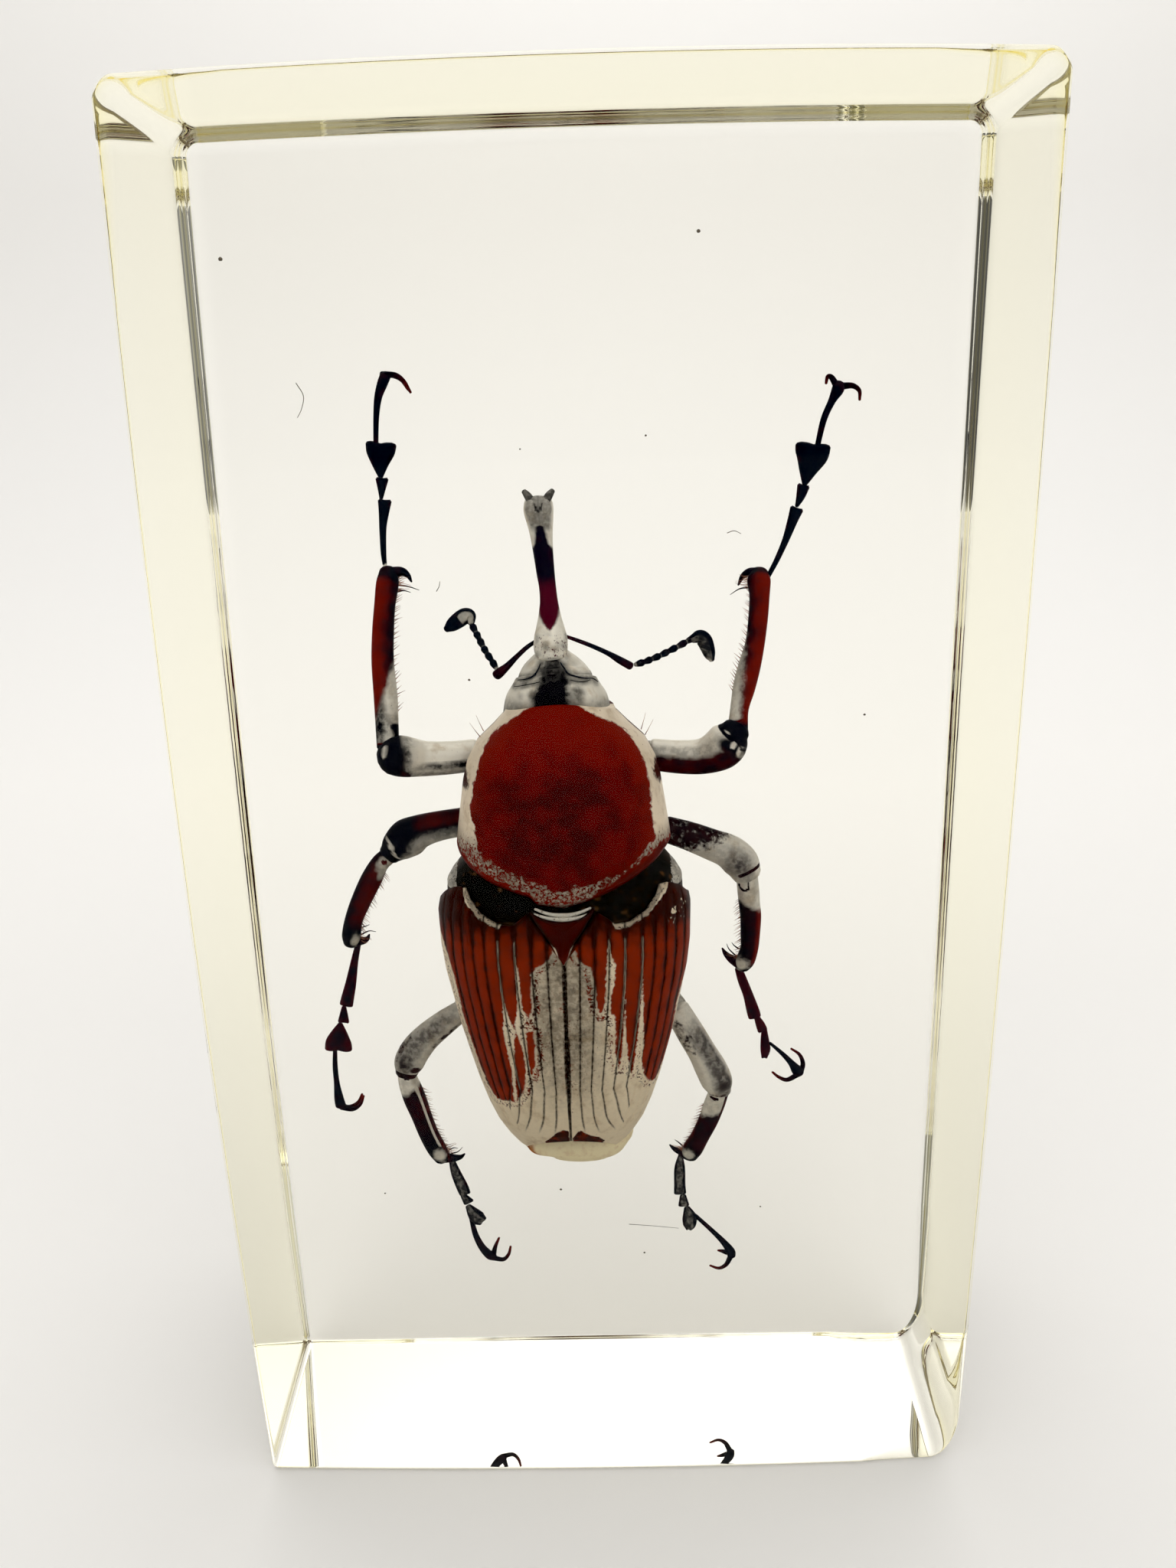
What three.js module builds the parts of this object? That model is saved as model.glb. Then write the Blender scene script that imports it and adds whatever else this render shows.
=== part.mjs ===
// A clear resin block cast around an insect, in millimetres, +Z up.
// The origin is the middle of the face it stands on. -Y is the face the insect's back is turned to.
// The insect is sealed in the resin, so the whole object is one closed solid.

import * as THREE from "three";

// Overall size, measured over the crowns of the polished faces.
const WIDTH = 41;
const DEPTH = 20;
const HEIGHT = 73;

// How far the middle of each hand-polished face stands proud of its edges.
const LEFT_BOW = 0.6;
const RIGHT_BOW = 0.25;
const TOP_BOW = 0.3;
const FRONT_CROWN = 0.35;

// Rounding of the edges. The back edges are rounder towards the top.
const FRONT_EDGE = 0.35;
const BACK_EDGE = 0.75;
const BACK_EDGE_GAIN = 0.25;

// Rounding of the four corners of the outline, across (x) and along (z) the block.
const TOP_CORNER = { x: 1.0, z: 1.0 };
const LEFT_FOOT = { x: 0.35, z: 0.35 };
const RIGHT_FOOT = { x: 1.6, z: 3.0 };

// How far from a corner its rounding dies away, as a share of half the block.
const CORNER_REACH = 0.25;

// Facets: steps over half of each rounded edge, and across the flat of each face.
const EDGE_STEPS = 2;
const FLAT_STEPS = { x: 6, y: 4, z: 10 };

// Half sizes between the edges, before the faces are bowed.
const HALF = new THREE.Vector3(
  (WIDTH - LEFT_BOW - RIGHT_BOW) / 2,
  (DEPTH - FRONT_CROWN) / 2,
  (HEIGHT - TOP_BOW) / 2,
);

const clamp = THREE.MathUtils.clamp;
const lerp = THREE.MathUtils.lerp;

// 1 at a corner of the outline, falling to 0 at CORNER_REACH from it.
function nearCorner(u, w) {
  const fromSide = (1 - Math.abs(u)) / CORNER_REACH;
  const fromEnd = (1 - Math.abs(w)) / CORNER_REACH;
  return clamp(1 - Math.max(fromSide, fromEnd), 0, 1);
}

// The rounding radii at a place on the block, given from -1 to 1 along each axis.
function radiiAt(u, v, w) {
  const edge = v > 0 ? BACK_EDGE + BACK_EDGE_GAIN * w : FRONT_EDGE;
  const foot = u > 0 ? RIGHT_FOOT : LEFT_FOOT;
  const corner = w > 0 ? TOP_CORNER : foot;
  const near = nearCorner(u, w);
  return new THREE.Vector3(lerp(edge, corner.x, near), edge, lerp(edge, corner.z, near));
}

// A grid step from 0 to 2 * EDGE_STEPS + flatSteps, as a share of the flat (-1 to 1) and an angle into the edge.
function gridPlace(step, flatSteps) {
  const past = step - EDGE_STEPS - flatSteps;
  const share = clamp((step - EDGE_STEPS) / flatSteps, 0, 1) * 2 - 1;
  const into = Math.max(EDGE_STEPS - step, past, 0) / EDGE_STEPS;
  return { share, slope: Math.tan((into * Math.PI) / 4) };
}

// The coordinate of a grid step on a face with this half size and edge radius.
function along(place, half, radius) {
  return place.share * (half - radius) + Math.sign(place.share) * radius * place.slope;
}

// A grid point of the box moved onto the block with its edges and corners rounded.
function rounded(places) {
  const radii = radiiAt(places.x.share, places.y.share, places.z.share);
  const point = new THREE.Vector3();
  const core = new THREE.Vector3();
  for (const axis of ["x", "y", "z"]) {
    const flat = HALF[axis] - radii[axis];
    point[axis] = along(places[axis], HALF[axis], radii[axis]);
    core[axis] = clamp(point[axis], -flat, flat);
  }
  const out = point.sub(core).divide(radii).normalize();
  return core.add(out.multiply(radii));
}

// The same point after the faces are bowed, standing on z = 0.
function bowed(point) {
  const u = point.x / HALF.x;
  const v = point.y / HALF.y;
  const w = point.z / HALF.z;
  const sideBow = u < 0 ? LEFT_BOW : RIGHT_BOW;
  const x = point.x + u * sideBow * (1 - w * w) + (LEFT_BOW - RIGHT_BOW) / 2;
  const y = point.y + Math.min(v, 0) * FRONT_CROWN * (1 - u * u) + FRONT_CROWN / 2;
  const z = point.z + Math.max(w, 0) * TOP_BOW * (1 - u * u) + HALF.z;
  return new THREE.Vector3(x, y, z);
}

function resinBlockGeometry() {
  const steps = {};
  for (const axis of ["x", "y", "z"]) {
    steps[axis] = 2 * EDGE_STEPS + FLAT_STEPS[axis];
  }
  const geometry = new THREE.BoxGeometry(2, 2, 2, steps.x, steps.y, steps.z);
  const positions = geometry.attributes.position;
  const grid = new THREE.Vector3();
  for (let i = 0; i < positions.count; i += 1) {
    grid.fromBufferAttribute(positions, i);
    const places = {};
    for (const axis of ["x", "y", "z"]) {
      const step = Math.round(((grid[axis] + 1) / 2) * steps[axis]);
      places[axis] = gridPlace(step, FLAT_STEPS[axis]);
    }
    const point = bowed(rounded(places));
    positions.setXYZ(i, point.x, point.y, point.z);
  }
  geometry.computeVertexNormals();
  return geometry;
}

const clearResin = new THREE.MeshStandardMaterial({
  color: 0xf3eedb,
  roughness: 0.03,
  metalness: 0,
  transparent: true,
  opacity: 0.35,
});

const resinBlock = new THREE.Mesh(resinBlockGeometry(), clearResin);
resinBlock.name = "resin_block";

const insectInResin = new THREE.Group();
insectInResin.add(resinBlock);

export default insectInResin;
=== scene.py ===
"""A long-snouted weevil cast in an upright block of clear resin, standing on a pale floor.

Sizes are in millimetres and become metres as each mesh is made. +Z is up and -Y points out of the wide face
that the insect's back is turned to, as in the CAD model.
"""

import functools
import math

import bmesh
import bpy
import numpy as np
from mathutils import Matrix, Vector, noise


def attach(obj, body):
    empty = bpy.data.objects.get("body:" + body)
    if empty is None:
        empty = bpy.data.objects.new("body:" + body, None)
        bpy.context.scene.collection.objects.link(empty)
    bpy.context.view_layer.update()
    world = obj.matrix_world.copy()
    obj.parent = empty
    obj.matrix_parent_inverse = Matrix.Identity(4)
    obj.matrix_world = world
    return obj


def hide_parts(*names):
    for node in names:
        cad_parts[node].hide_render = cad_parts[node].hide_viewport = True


MM = 0.001
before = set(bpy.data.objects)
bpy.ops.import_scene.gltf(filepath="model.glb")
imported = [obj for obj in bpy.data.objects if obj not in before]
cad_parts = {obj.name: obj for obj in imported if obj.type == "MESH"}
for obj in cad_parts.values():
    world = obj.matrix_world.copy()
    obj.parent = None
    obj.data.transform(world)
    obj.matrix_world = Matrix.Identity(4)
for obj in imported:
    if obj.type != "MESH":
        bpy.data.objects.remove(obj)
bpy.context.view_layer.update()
CAD_BLOCK = "resin_block"


# ---------------------------------------------------------------- small tools


def rise(low, high, value):
    """Goes smoothly from 0 to 1 as the value goes from low to high, which may be below it."""
    share = np.clip((np.asarray(value, float) - low) / (high - low), 0.0, 1.0)
    return share * share * (3.0 - 2.0 * share)


def linear(red, green, blue):
    """A colour given from 0 to 255 as a colour picker shows it, as the linear RGBA that nodes take."""
    shares = [c / 255.0 for c in (red, green, blue)]
    return [s / 12.92 if s <= 0.04045 else ((s + 0.055) / 1.055) ** 2.4 for s in shares] + [1.0]


def piece(name, points, faces, material, closed=True, **marks):
    """A mesh from points in millimetres, riding on the body. Marks are numbers that its finish reads."""
    mesh = bpy.data.meshes.new(name)
    mesh.from_pydata((np.asarray(points) * MM).tolist(), [], [list(f) for f in faces])
    if closed:
        shell = bmesh.new()
        shell.from_mesh(mesh)
        bmesh.ops.recalc_face_normals(shell, faces=shell.faces)
        shell.to_mesh(mesh)
        shell.free()
    mesh.shade_smooth()
    for mark, numbers in marks.items():
        layer = mesh.attributes.new(mark, "FLOAT", "POINT")
        layer.data.foreach_set("value", np.broadcast_to(numbers, len(points)).astype(np.float32))
    mesh.materials.append(material)
    made = bpy.data.objects.new(name, mesh)
    bpy.context.scene.collection.objects.link(made)
    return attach(made, "root")


class Nodes:
    """Shorthand for the nodes of a material or of the world. Lengths are in millimetres."""

    def __init__(self, tree, place="Object"):
        self.tree = tree
        self.place = self.add("TexCoord").outputs[place]

    def put(self, socket, value):
        """Links a node's output to a socket, or sets a plain value on it."""
        if isinstance(value, bpy.types.NodeSocket):
            self.tree.links.new(value, socket)
        else:
            socket.default_value = value

    def add(self, kind, inputs=None, **settings):
        node = self.tree.nodes.new("ShaderNode" + kind)
        for name, value in settings.items():
            setattr(node, name, value)
        for name, value in (inputs or {}).items():
            self.put(node.inputs[name], value)
        return node

    def noise(self, size, detail=2.0, rough=0.5):
        """Soft noise from 0 to 1 whose patches are about `size` across."""
        spread = self.add("Mapping", {"Vector": self.place, "Scale": [1 / (size * MM)] * 3})
        inputs = {"Vector": spread.outputs["Vector"], "Scale": 1.0, "Detail": detail, "Roughness": rough}
        return self.add("TexNoise", inputs).outputs["Fac"]

    def math(self, kind, first, second):
        return self.add("Math", {0: first, 1: second}, operation=kind).outputs["Value"]

    def times(self, first, second):
        return self.math("MULTIPLY", first, second)

    def plus(self, first, second):
        return self.math("ADD", first, second)

    def minus(self, first, second):
        return self.math("SUBTRACT", first, second)

    def ramp(self, value, low, high, at_low=0.0, at_high=1.0):
        """Goes smoothly from `at_low` to `at_high` as the value goes from `low` to `high`."""
        inputs = {"Value": value, "From Min": low, "From Max": high, "To Min": at_low, "To Max": at_high}
        return self.add("MapRange", inputs, interpolation_type="SMOOTHSTEP").outputs["Result"]

    def mix(self, first, second, share):
        sockets = {"A": first, "B": second, "Factor": share}
        return self.add("Mix", sockets, data_type="RGBA").outputs["Result"]


class Paint(Nodes):
    """The nodes of one new material."""

    def __init__(self, name):
        self.material = bpy.data.materials.new(name)
        self.material.use_nodes = True
        super().__init__(self.material.node_tree)
        self.shader = self.tree.nodes["Principled BSDF"]

    def surface(self, **values):
        for name, value in values.items():
            self.put(self.shader.inputs[name.replace("_", " ")], value)

    def mark(self, name):
        """The number that each point of the mesh holds under this name."""
        return self.add("Attribute", attribute_name=name).outputs["Fac"]

    def bump(self, height, distance, strength):
        inputs = {"Height": height, "Distance": distance * MM, "Strength": strength}
        self.put(self.shader.inputs["Normal"], self.add("Bump", inputs).outputs["Normal"])


# ---------------------------------------------------------------- resin block

WIDTH, DEPTH, HEIGHT = 41.0, 20.0, 73.0
# How far the middles of its faces stand out.
LEFT_BOW, RIGHT_BOW, TOP_BOW, FRONT_CROWN = 0.6, 0.25, 0.3, 0.35
# The radii of its edges, and how much more the back ones have toward the top.
FRONT_EDGE, BACK_EDGE, BACK_EDGE_GAIN = 0.35, 0.75, 0.25
# The radii of its corners along x and z, and how far along the edges they reach, as a share.
TOP_CORNER, LEFT_FOOT, RIGHT_FOOT = (1.0, 1.0), (0.35, 0.35), (1.6, 3.0)
CORNER_REACH = 0.25
# The mesh: steps round an edge, and across the flat along x, y and z.
EDGE_STEPS = 6
FLAT_STEPS = (30, 14, 48)
HALF = np.array([WIDTH - LEFT_BOW - RIGHT_BOW, DEPTH - FRONT_CROWN, HEIGHT - TOP_BOW]) / 2


def block_radii(share):
    """The rounding radii along x, y and z at places given from -1 to 1 along each axis."""
    u, v, w = share.T
    edge = np.where(v > 0, BACK_EDGE + BACK_EDGE_GAIN * w, FRONT_EDGE)
    across = np.where(w > 0, TOP_CORNER[0], np.where(u > 0, RIGHT_FOOT[0], LEFT_FOOT[0]))
    along = np.where(w > 0, TOP_CORNER[1], np.where(u > 0, RIGHT_FOOT[1], LEFT_FOOT[1]))
    from_corner = np.maximum(1 - np.abs(u), 1 - np.abs(w)) / CORNER_REACH
    near = np.clip(1 - from_corner, 0, 1)
    return np.stack([edge + (across - edge) * near, edge, edge + (along - edge) * near], axis=1)


def bow_faces(point):
    """Points of the plain rounded box after its faces are bowed, standing on z = 0."""
    u, v, w = (point / HALF).T
    side_bow = np.where(u < 0, LEFT_BOW, RIGHT_BOW)
    x = point[:, 0] + u * side_bow * (1 - w * w) + (LEFT_BOW - RIGHT_BOW) / 2
    y = point[:, 1] + np.minimum(v, 0) * FRONT_CROWN * (1 - u * u) + FRONT_CROWN / 2
    z = point[:, 2] + np.maximum(w, 0) * TOP_BOW * (1 - u * u) + HALF[2]
    return np.stack([x, y, z], axis=1)


def block_grid():
    """Grid points on the skin of a box, as whole steps along each axis, and the quads between them."""
    count = [2 * EDGE_STEPS + flat for flat in FLAT_STEPS]
    index, places, faces = {}, [], []

    def corner(place):
        if place not in index:
            index[place] = len(places)
            places.append(place)
        return index[place]

    for axis in range(3):
        a, b = [other for other in range(3) if other != axis]
        for side in (0, count[axis]):
            for i in range(count[a]):
                for j in range(count[b]):
                    ring = []
                    for di, dj in ((0, 0), (1, 0), (1, 1), (0, 1)):
                        place = [0, 0, 0]
                        place[axis], place[a], place[b] = side, i + di, j + dj
                        ring.append(corner(tuple(place)))
                    faces.append(ring)
    return np.array(places), faces


def block_points(step):
    """Grid steps moved onto the block, and the directions that its skin faces there."""
    share, into = np.zeros(step.shape), np.zeros(step.shape)
    for axis, flat in enumerate(FLAT_STEPS):
        place = step[:, axis]
        share[:, axis] = np.clip((place - EDGE_STEPS) / flat, 0, 1) * 2 - 1
        into[:, axis] = np.maximum(np.maximum(EDGE_STEPS - place, place - EDGE_STEPS - flat), 0)
    radii = block_radii(share)
    core = share * (HALF - radii)
    reach = np.sign(share) * np.tan(into / EDGE_STEPS * math.pi / 4)
    outward = reach / np.linalg.norm(reach, axis=1)[:, None]
    point = core + outward * radii
    facing = outward / radii
    return point, facing / np.linalg.norm(facing, axis=1)[:, None]


def bowed_normals(point, facing):
    """The skin's directions after bowing, by the inverse transpose of the bow's own slope."""
    small = 1e-4
    slope = np.zeros((len(point), 3, 3))
    for axis in range(3):
        shift = np.zeros(3)
        shift[axis] = small
        slope[:, :, axis] = (bow_faces(point + shift) - bow_faces(point - shift)) / (2 * small)
    turned = np.einsum("nij,nj->ni", np.linalg.inv(slope).transpose(0, 2, 1), facing)
    return turned / np.linalg.norm(turned, axis=1)[:, None]


RESIN_IOR = 1.53
# What is left of red, green and blue light, and how fast the rest is lost, per metre of resin.
RESIN_ABSORPTION, RESIN_DENSITY = (0.96, 0.93, 0.84, 1.0), 3.3
# The polished faces mirror this share of what bare resin would.
MIRROR_SHARE = 0.12


def resin_material():
    """Clear cast resin: plain transmission, IOR and absorption, under a thin yellowed skin."""
    paint = Paint("clear_resin")
    inputs = {"Vector": paint.place, "Scale": 60.0, "Detail": 3.0}
    tint = paint.add("TexNoise", inputs).outputs["Fac"]
    paint.surface(
        Base_Color=paint.mix((0.985, 0.985, 0.985, 1.0), (1.0, 1.0, 0.995, 1.0), tint),
        Roughness=0.0,
        IOR=RESIN_IOR,
        Transmission_Weight=1.0,
        Specular_Tint=(MIRROR_SHARE, MIRROR_SHARE, MIRROR_SHARE, 1.0),
        Coat_Weight=1.0,
        Coat_Roughness=0.0,
        Coat_IOR=1.0,
        Coat_Tint=(1.0, 0.998, 0.982, 1.0),
    )
    absorb = paint.add("VolumeAbsorption", {"Color": RESIN_ABSORPTION, "Density": RESIN_DENSITY})
    paint.put(paint.tree.nodes["Material Output"].inputs["Volume"], absorb.outputs["Volume"])
    return paint.material


def make_block():
    """The block of resin, bowed and rounded, in place of the CAD one."""
    steps, faces = block_grid()
    point, facing = block_points(steps)
    block = piece("clear_block", bow_faces(point), faces, resin_material())
    block.data.normals_split_custom_set_from_vertices(bowed_normals(point, facing).tolist())
    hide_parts(CAD_BLOCK)


# ---------------------------------------------------------------- floor, light and camera

FLOOR_COLOUR = linear(247, 245, 241)
# The sweep behind the block: where it starts to rise, its radius and its top.
SWEEP_START, SWEEP_RADIUS, SWEEP_TOP, SWEEP_STEPS = 130.0, 110.0, 420.0, 24
FLOOR_FRONT, FLOOR_HALF_WIDTH, FLOOR_COLS = -1500.0, 520.0, 9
# How bright the room is to the left and right of the block, as a share of the middle.
LEFT_LIGHT, RIGHT_LIGHT = 0.15, 0.45
# The air left under the block, so that its base mirrors what stands over it.
FLOOR_GAP = 0.05


def floor_material():
    paint = Paint("floor")
    cloud = paint.add("TexNoise", {"Scale": 12.0}).outputs["Fac"]
    shaded = [level * 0.985 for level in FLOOR_COLOUR[:3]] + [1.0]
    paint.surface(Base_Color=paint.mix(FLOOR_COLOUR, shaded, cloud), Roughness=0.7)
    return paint.material


def make_floor():
    """A pale sweep: flat under the block, then curving up behind it."""
    profile = [(y, -FLOOR_GAP) for y in (FLOOR_FRONT, -150.0, 0.0, 60.0)]
    for turn in np.linspace(0, math.pi / 2, SWEEP_STEPS + 1):
        z = SWEEP_RADIUS * (1 - math.cos(turn)) - FLOOR_GAP
        profile.append((SWEEP_START + SWEEP_RADIUS * math.sin(turn), z))
    profile.append((SWEEP_START + SWEEP_RADIUS, SWEEP_TOP))
    across = np.linspace(-FLOOR_HALF_WIDTH, FLOOR_HALF_WIDTH, FLOOR_COLS)
    points = [(x, y, z) for y, z in profile for x in across]
    mesh = bpy.data.meshes.new("floor")
    mesh.from_pydata((np.array(points) * MM).tolist(), [], grid_faces(len(profile), FLOOR_COLS))
    mesh.shade_smooth()
    mesh.materials.append(floor_material())
    floor = bpy.data.objects.new("floor", mesh)
    bpy.context.scene.collection.objects.link(floor)


def make_world():
    """Soft light from all round: brightest above and behind, dim at the sides."""
    world = bpy.data.worlds.new("soft_room")
    bpy.context.scene.world = world
    world.use_nodes = True
    room = Nodes(world.node_tree, "Generated")
    x, y, z = room.add("SeparateXYZ", {"Vector": room.place}).outputs
    height = room.ramp(z, -0.1, 0.8, 0.8, 1.22)
    front = room.ramp(y, -0.9, 0.3, 0.85, 1.05)
    left = room.ramp(x, -0.3, -0.9, 1.0, LEFT_LIGHT)
    right = room.ramp(x, 0.3, 0.9, 1.0, RIGHT_LIGHT)
    # The room is unlit low down in front.
    unlit = room.times(room.ramp(y, 0.0, -0.45), room.ramp(z, 0.55, 0.05, 0.0, 0.5))
    strength = room.times(room.times(height, front), room.times(left, right))
    strength = room.times(strength, room.minus(1.0, unlit))
    background = world.node_tree.nodes["Background"]
    room.put(background.inputs["Strength"], strength)
    background.inputs["Color"].default_value = (1.0, 0.998, 0.996, 1.0)


# Watts, and the light's place, target and size.
LAMP_POWER = 0.26
LAMP_AT, LAMP_TARGET, LAMP_SIZE = Vector((20, 90, 310)), Vector((15, 240, 290)), (200, 70)


def make_lamp():
    """A small lamp that evens out the sweep behind the block."""
    data = bpy.data.lights.new("back_wash", "AREA")
    data.shape = "RECTANGLE"
    data.size, data.size_y = (side * MM for side in LAMP_SIZE)
    data.energy = LAMP_POWER
    lamp = bpy.data.objects.new("back_wash", data)
    bpy.context.scene.collection.objects.link(lamp)
    lamp.location = LAMP_AT * MM
    lamp.rotation_euler = (LAMP_TARGET - LAMP_AT).to_track_quat("-Z", "Y").to_euler()


CAMERA_AT = (0.55, -64.43, 59.03)
CAMERA_PITCH, CAMERA_YAW, CAMERA_ROLL = 17.36, -0.82, -1.52
LENS, SENSOR = 27.351, 36.0


def make_camera():
    """The camera, looking a little down at the block's wide face."""
    pitch, yaw, roll = (math.radians(a) for a in (CAMERA_PITCH, CAMERA_YAW, CAMERA_ROLL))
    ahead = Vector((math.sin(yaw) * math.cos(pitch), math.cos(yaw) * math.cos(pitch), -math.sin(pitch)))
    level = Vector((math.cos(yaw), -math.sin(yaw), 0.0))
    above = level.cross(ahead)
    right = math.cos(roll) * level + math.sin(roll) * above
    up = math.cos(roll) * above - math.sin(roll) * level
    data = bpy.data.cameras.new("camera")
    data.sensor_width, data.lens = SENSOR, LENS
    data.clip_start, data.clip_end = 0.001, 10.0
    camera = bpy.data.objects.new("camera", data)
    bpy.context.scene.collection.objects.link(camera)
    turn = Matrix((right, up, -ahead)).transposed()
    camera.matrix_world = Matrix.Translation(Vector(CAMERA_AT) * MM) @ turn.to_4x4()
    bpy.context.scene.camera = camera


# ---------------------------------------------------------------- shapes of the insect


def unit(rows):
    """Rows of vectors at length one."""
    rows = np.asarray(rows, float)
    return rows / np.maximum(np.linalg.norm(rows, axis=-1), 1e-9)[..., None]


def smooth_rows(rows, per):
    """A smooth curve through rows of numbers, with `per` steps to each span."""
    rows = np.asarray(rows, float)
    ends = np.vstack([2 * rows[0] - rows[1], rows, 2 * rows[-1] - rows[-2]])
    curve = []
    for i in range(len(rows) - 1):
        a, b, c, d = ends[i : i + 4]
        for t in np.arange(per) / per:
            bend = (2 * a - 5 * b + 4 * c - d) * t * t + (3 * b - a - 3 * c + d) * t**3
            curve.append(0.5 * (2 * b + (c - a) * t + bend))
    return np.array(curve + [rows[-1]])


def smooth_noise(points, size, seed=0.0):
    """Noise from -1 to 1 at each point, in patches about `size` across."""
    return np.array([noise.noise(Vector(p) / size + Vector((seed, 0.0, 0.0))) for p in points])


def ring_faces(rings, sides):
    """Quads between closed rings, and a fan over each end round the two points that follow the rings."""
    faces = []
    for row in range(rings - 1):
        for col in range(sides):
            here, there = row * sides + col, row * sides + (col + 1) % sides
            faces.append([here, there, there + sides, here + sides])
    first, last = rings * sides, rings * sides + 1
    for col in range(sides):
        there = (col + 1) % sides
        faces.append([first, there, col])
        faces.append([last, (rings - 1) * sides + col, (rings - 1) * sides + there])
    return faces


def grid_faces(rows, cols):
    """Quads of a sheet of points, row after row."""
    faces = []
    for row in range(rows - 1):
        for col in range(cols - 1):
            here = row * cols + col
            faces.append([here, here + 1, here + cols + 1, here + cols])
    return faces


def close_rings(rings):
    """The points of a stack of rings, with the middle of each end ring after them."""
    return np.vstack([rings.reshape(-1, 3), rings[0].mean(axis=0), rings[-1].mean(axis=0)])


VIEW = np.array([0.0, -1.0, 0.0])
# The rounded ends: their rings, and how far round the last one is, just short of a right angle.
CAP_STEPS, LAST_CAP_TURN = 4, math.pi / 2 * 0.96
THINNEST = 0.008


def squared_circle(sides, square=2.0):
    """The cosines and sines round a circle, pushed out at its corners where `square` is above 2."""
    angle = np.arange(sides) / sides * 2 * math.pi
    return [np.sign(wave) * np.abs(wave) ** (2 / square) for wave in (np.cos(angle), np.sin(angle))]


def sweep(stations, sides=16, per=6, thick=0.8, caps=(0.7, 0.7), square=2.0):
    """A limb along stations of x, y, z and half width, with rounded ends.

    It is `thick` times as deep as it is wide. Returns its points and faces and, for each point, its share
    of the length and its place across, from -1 to 1.
    """
    rows = smooth_rows(stations, per)
    centre, half = rows[:, :3], np.maximum(rows[:, 3], THINNEST)
    tangent = unit(np.gradient(centre, axis=0))
    across = unit(np.cross(tangent, VIEW))
    deep = np.cross(across, tangent)
    cos, sin = squared_circle(sides, square)
    wide = cos[None, :, None] * across[:, None, :]
    spread = half[:, None, None] * (wide + thick * sin[None, :, None] * deep[:, None, :])
    rings = list(centre[:, None, :] + spread)
    shares = list(np.linspace(0, 1, len(rows)))
    for turn in np.linspace(0, LAST_CAP_TURN, CAP_STEPS + 1)[1:]:
        back = centre[0] - tangent[0] * half[0] * caps[0] * math.sin(turn)
        on = centre[-1] + tangent[-1] * half[-1] * caps[1] * math.sin(turn)
        rings = [back + spread[0] * math.cos(turn)] + rings + [on + spread[-1] * math.cos(turn)]
        shares = [0.0] + shares + [1.0]
    rings = np.array(rings)
    along = np.append(np.repeat(shares, sides), [0.0, 1.0])
    side = np.append(np.tile(cos, len(rings)), [0.0, 0.0])
    return close_rings(rings), ring_faces(len(rings), sides), along, side


def two_sided(points, rows, cols, shift):
    """A sheet of points closed with a copy of itself, moved by `shift`, and a strip round the edge."""
    faces, count = grid_faces(rows, cols), len(points)
    rim = list(range(cols)) + [row * cols + cols - 1 for row in range(1, rows)]
    rim += [(rows - 1) * cols + col for col in range(cols - 2, -1, -1)]
    rim += [row * cols for row in range(rows - 2, 0, -1)]
    edges = [[a, b, b + count, a + count] for a, b in zip(rim, rim[1:] + rim[:1])]
    back = [[i + count for i in face[::-1]] for face in faces]
    return np.vstack([points, points + np.array(shift)]), faces + back + edges


def joined(parts):
    """Several shapes, each points and faces, as one."""
    points, faces, count = [], [], 0
    for part_points, part_faces in parts:
        points.append(part_points)
        faces += [[i + count for i in face] for face in part_faces]
        count += len(part_points)
    return np.vstack(points), faces


def inside(points, outline):
    """How far each x, z point lies inside a closed outline: below 0 where it is outside."""
    points, outline = np.asarray(points, float), np.asarray(outline, float)
    nearest = np.full(len(points), 1e9)
    within = np.zeros(len(points), bool)
    for a, b in zip(outline, np.roll(outline, -1, axis=0)):
        edge = b - a
        share = np.clip(((points - a) @ edge) / max(edge @ edge, 1e-12), 0, 1)
        nearest = np.minimum(nearest, np.linalg.norm(points - a - share[:, None] * edge, axis=1))
        if a[1] != b[1]:
            crosses = (points[:, 1] < a[1]) != (points[:, 1] < b[1])
            at = a[0] + (points[:, 1] - a[1]) / (b[1] - a[1]) * edge[0]
            within ^= crosses & (points[:, 0] < at)
    return np.where(within, nearest, -nearest)


def hump(value, width):
    """1 where the value is 0, falling away on both sides over about `width`."""
    return np.exp(-((value / width) ** 2))


def band(value, low, high, soft=0.06):
    """1 between two limits, 0 outside them."""
    return rise(low - soft, low + soft, value) * rise(high + soft, high - soft, value)


def from_table(at, table):
    """A measure that changes with height or place, from a table of (place, measure) with places rising."""
    places, measures = zip(*table)
    return np.interp(at, places, measures)


# ---------------------------------------------------------------- finishes of the insect

SILVER = linear(255, 249, 236)
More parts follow.
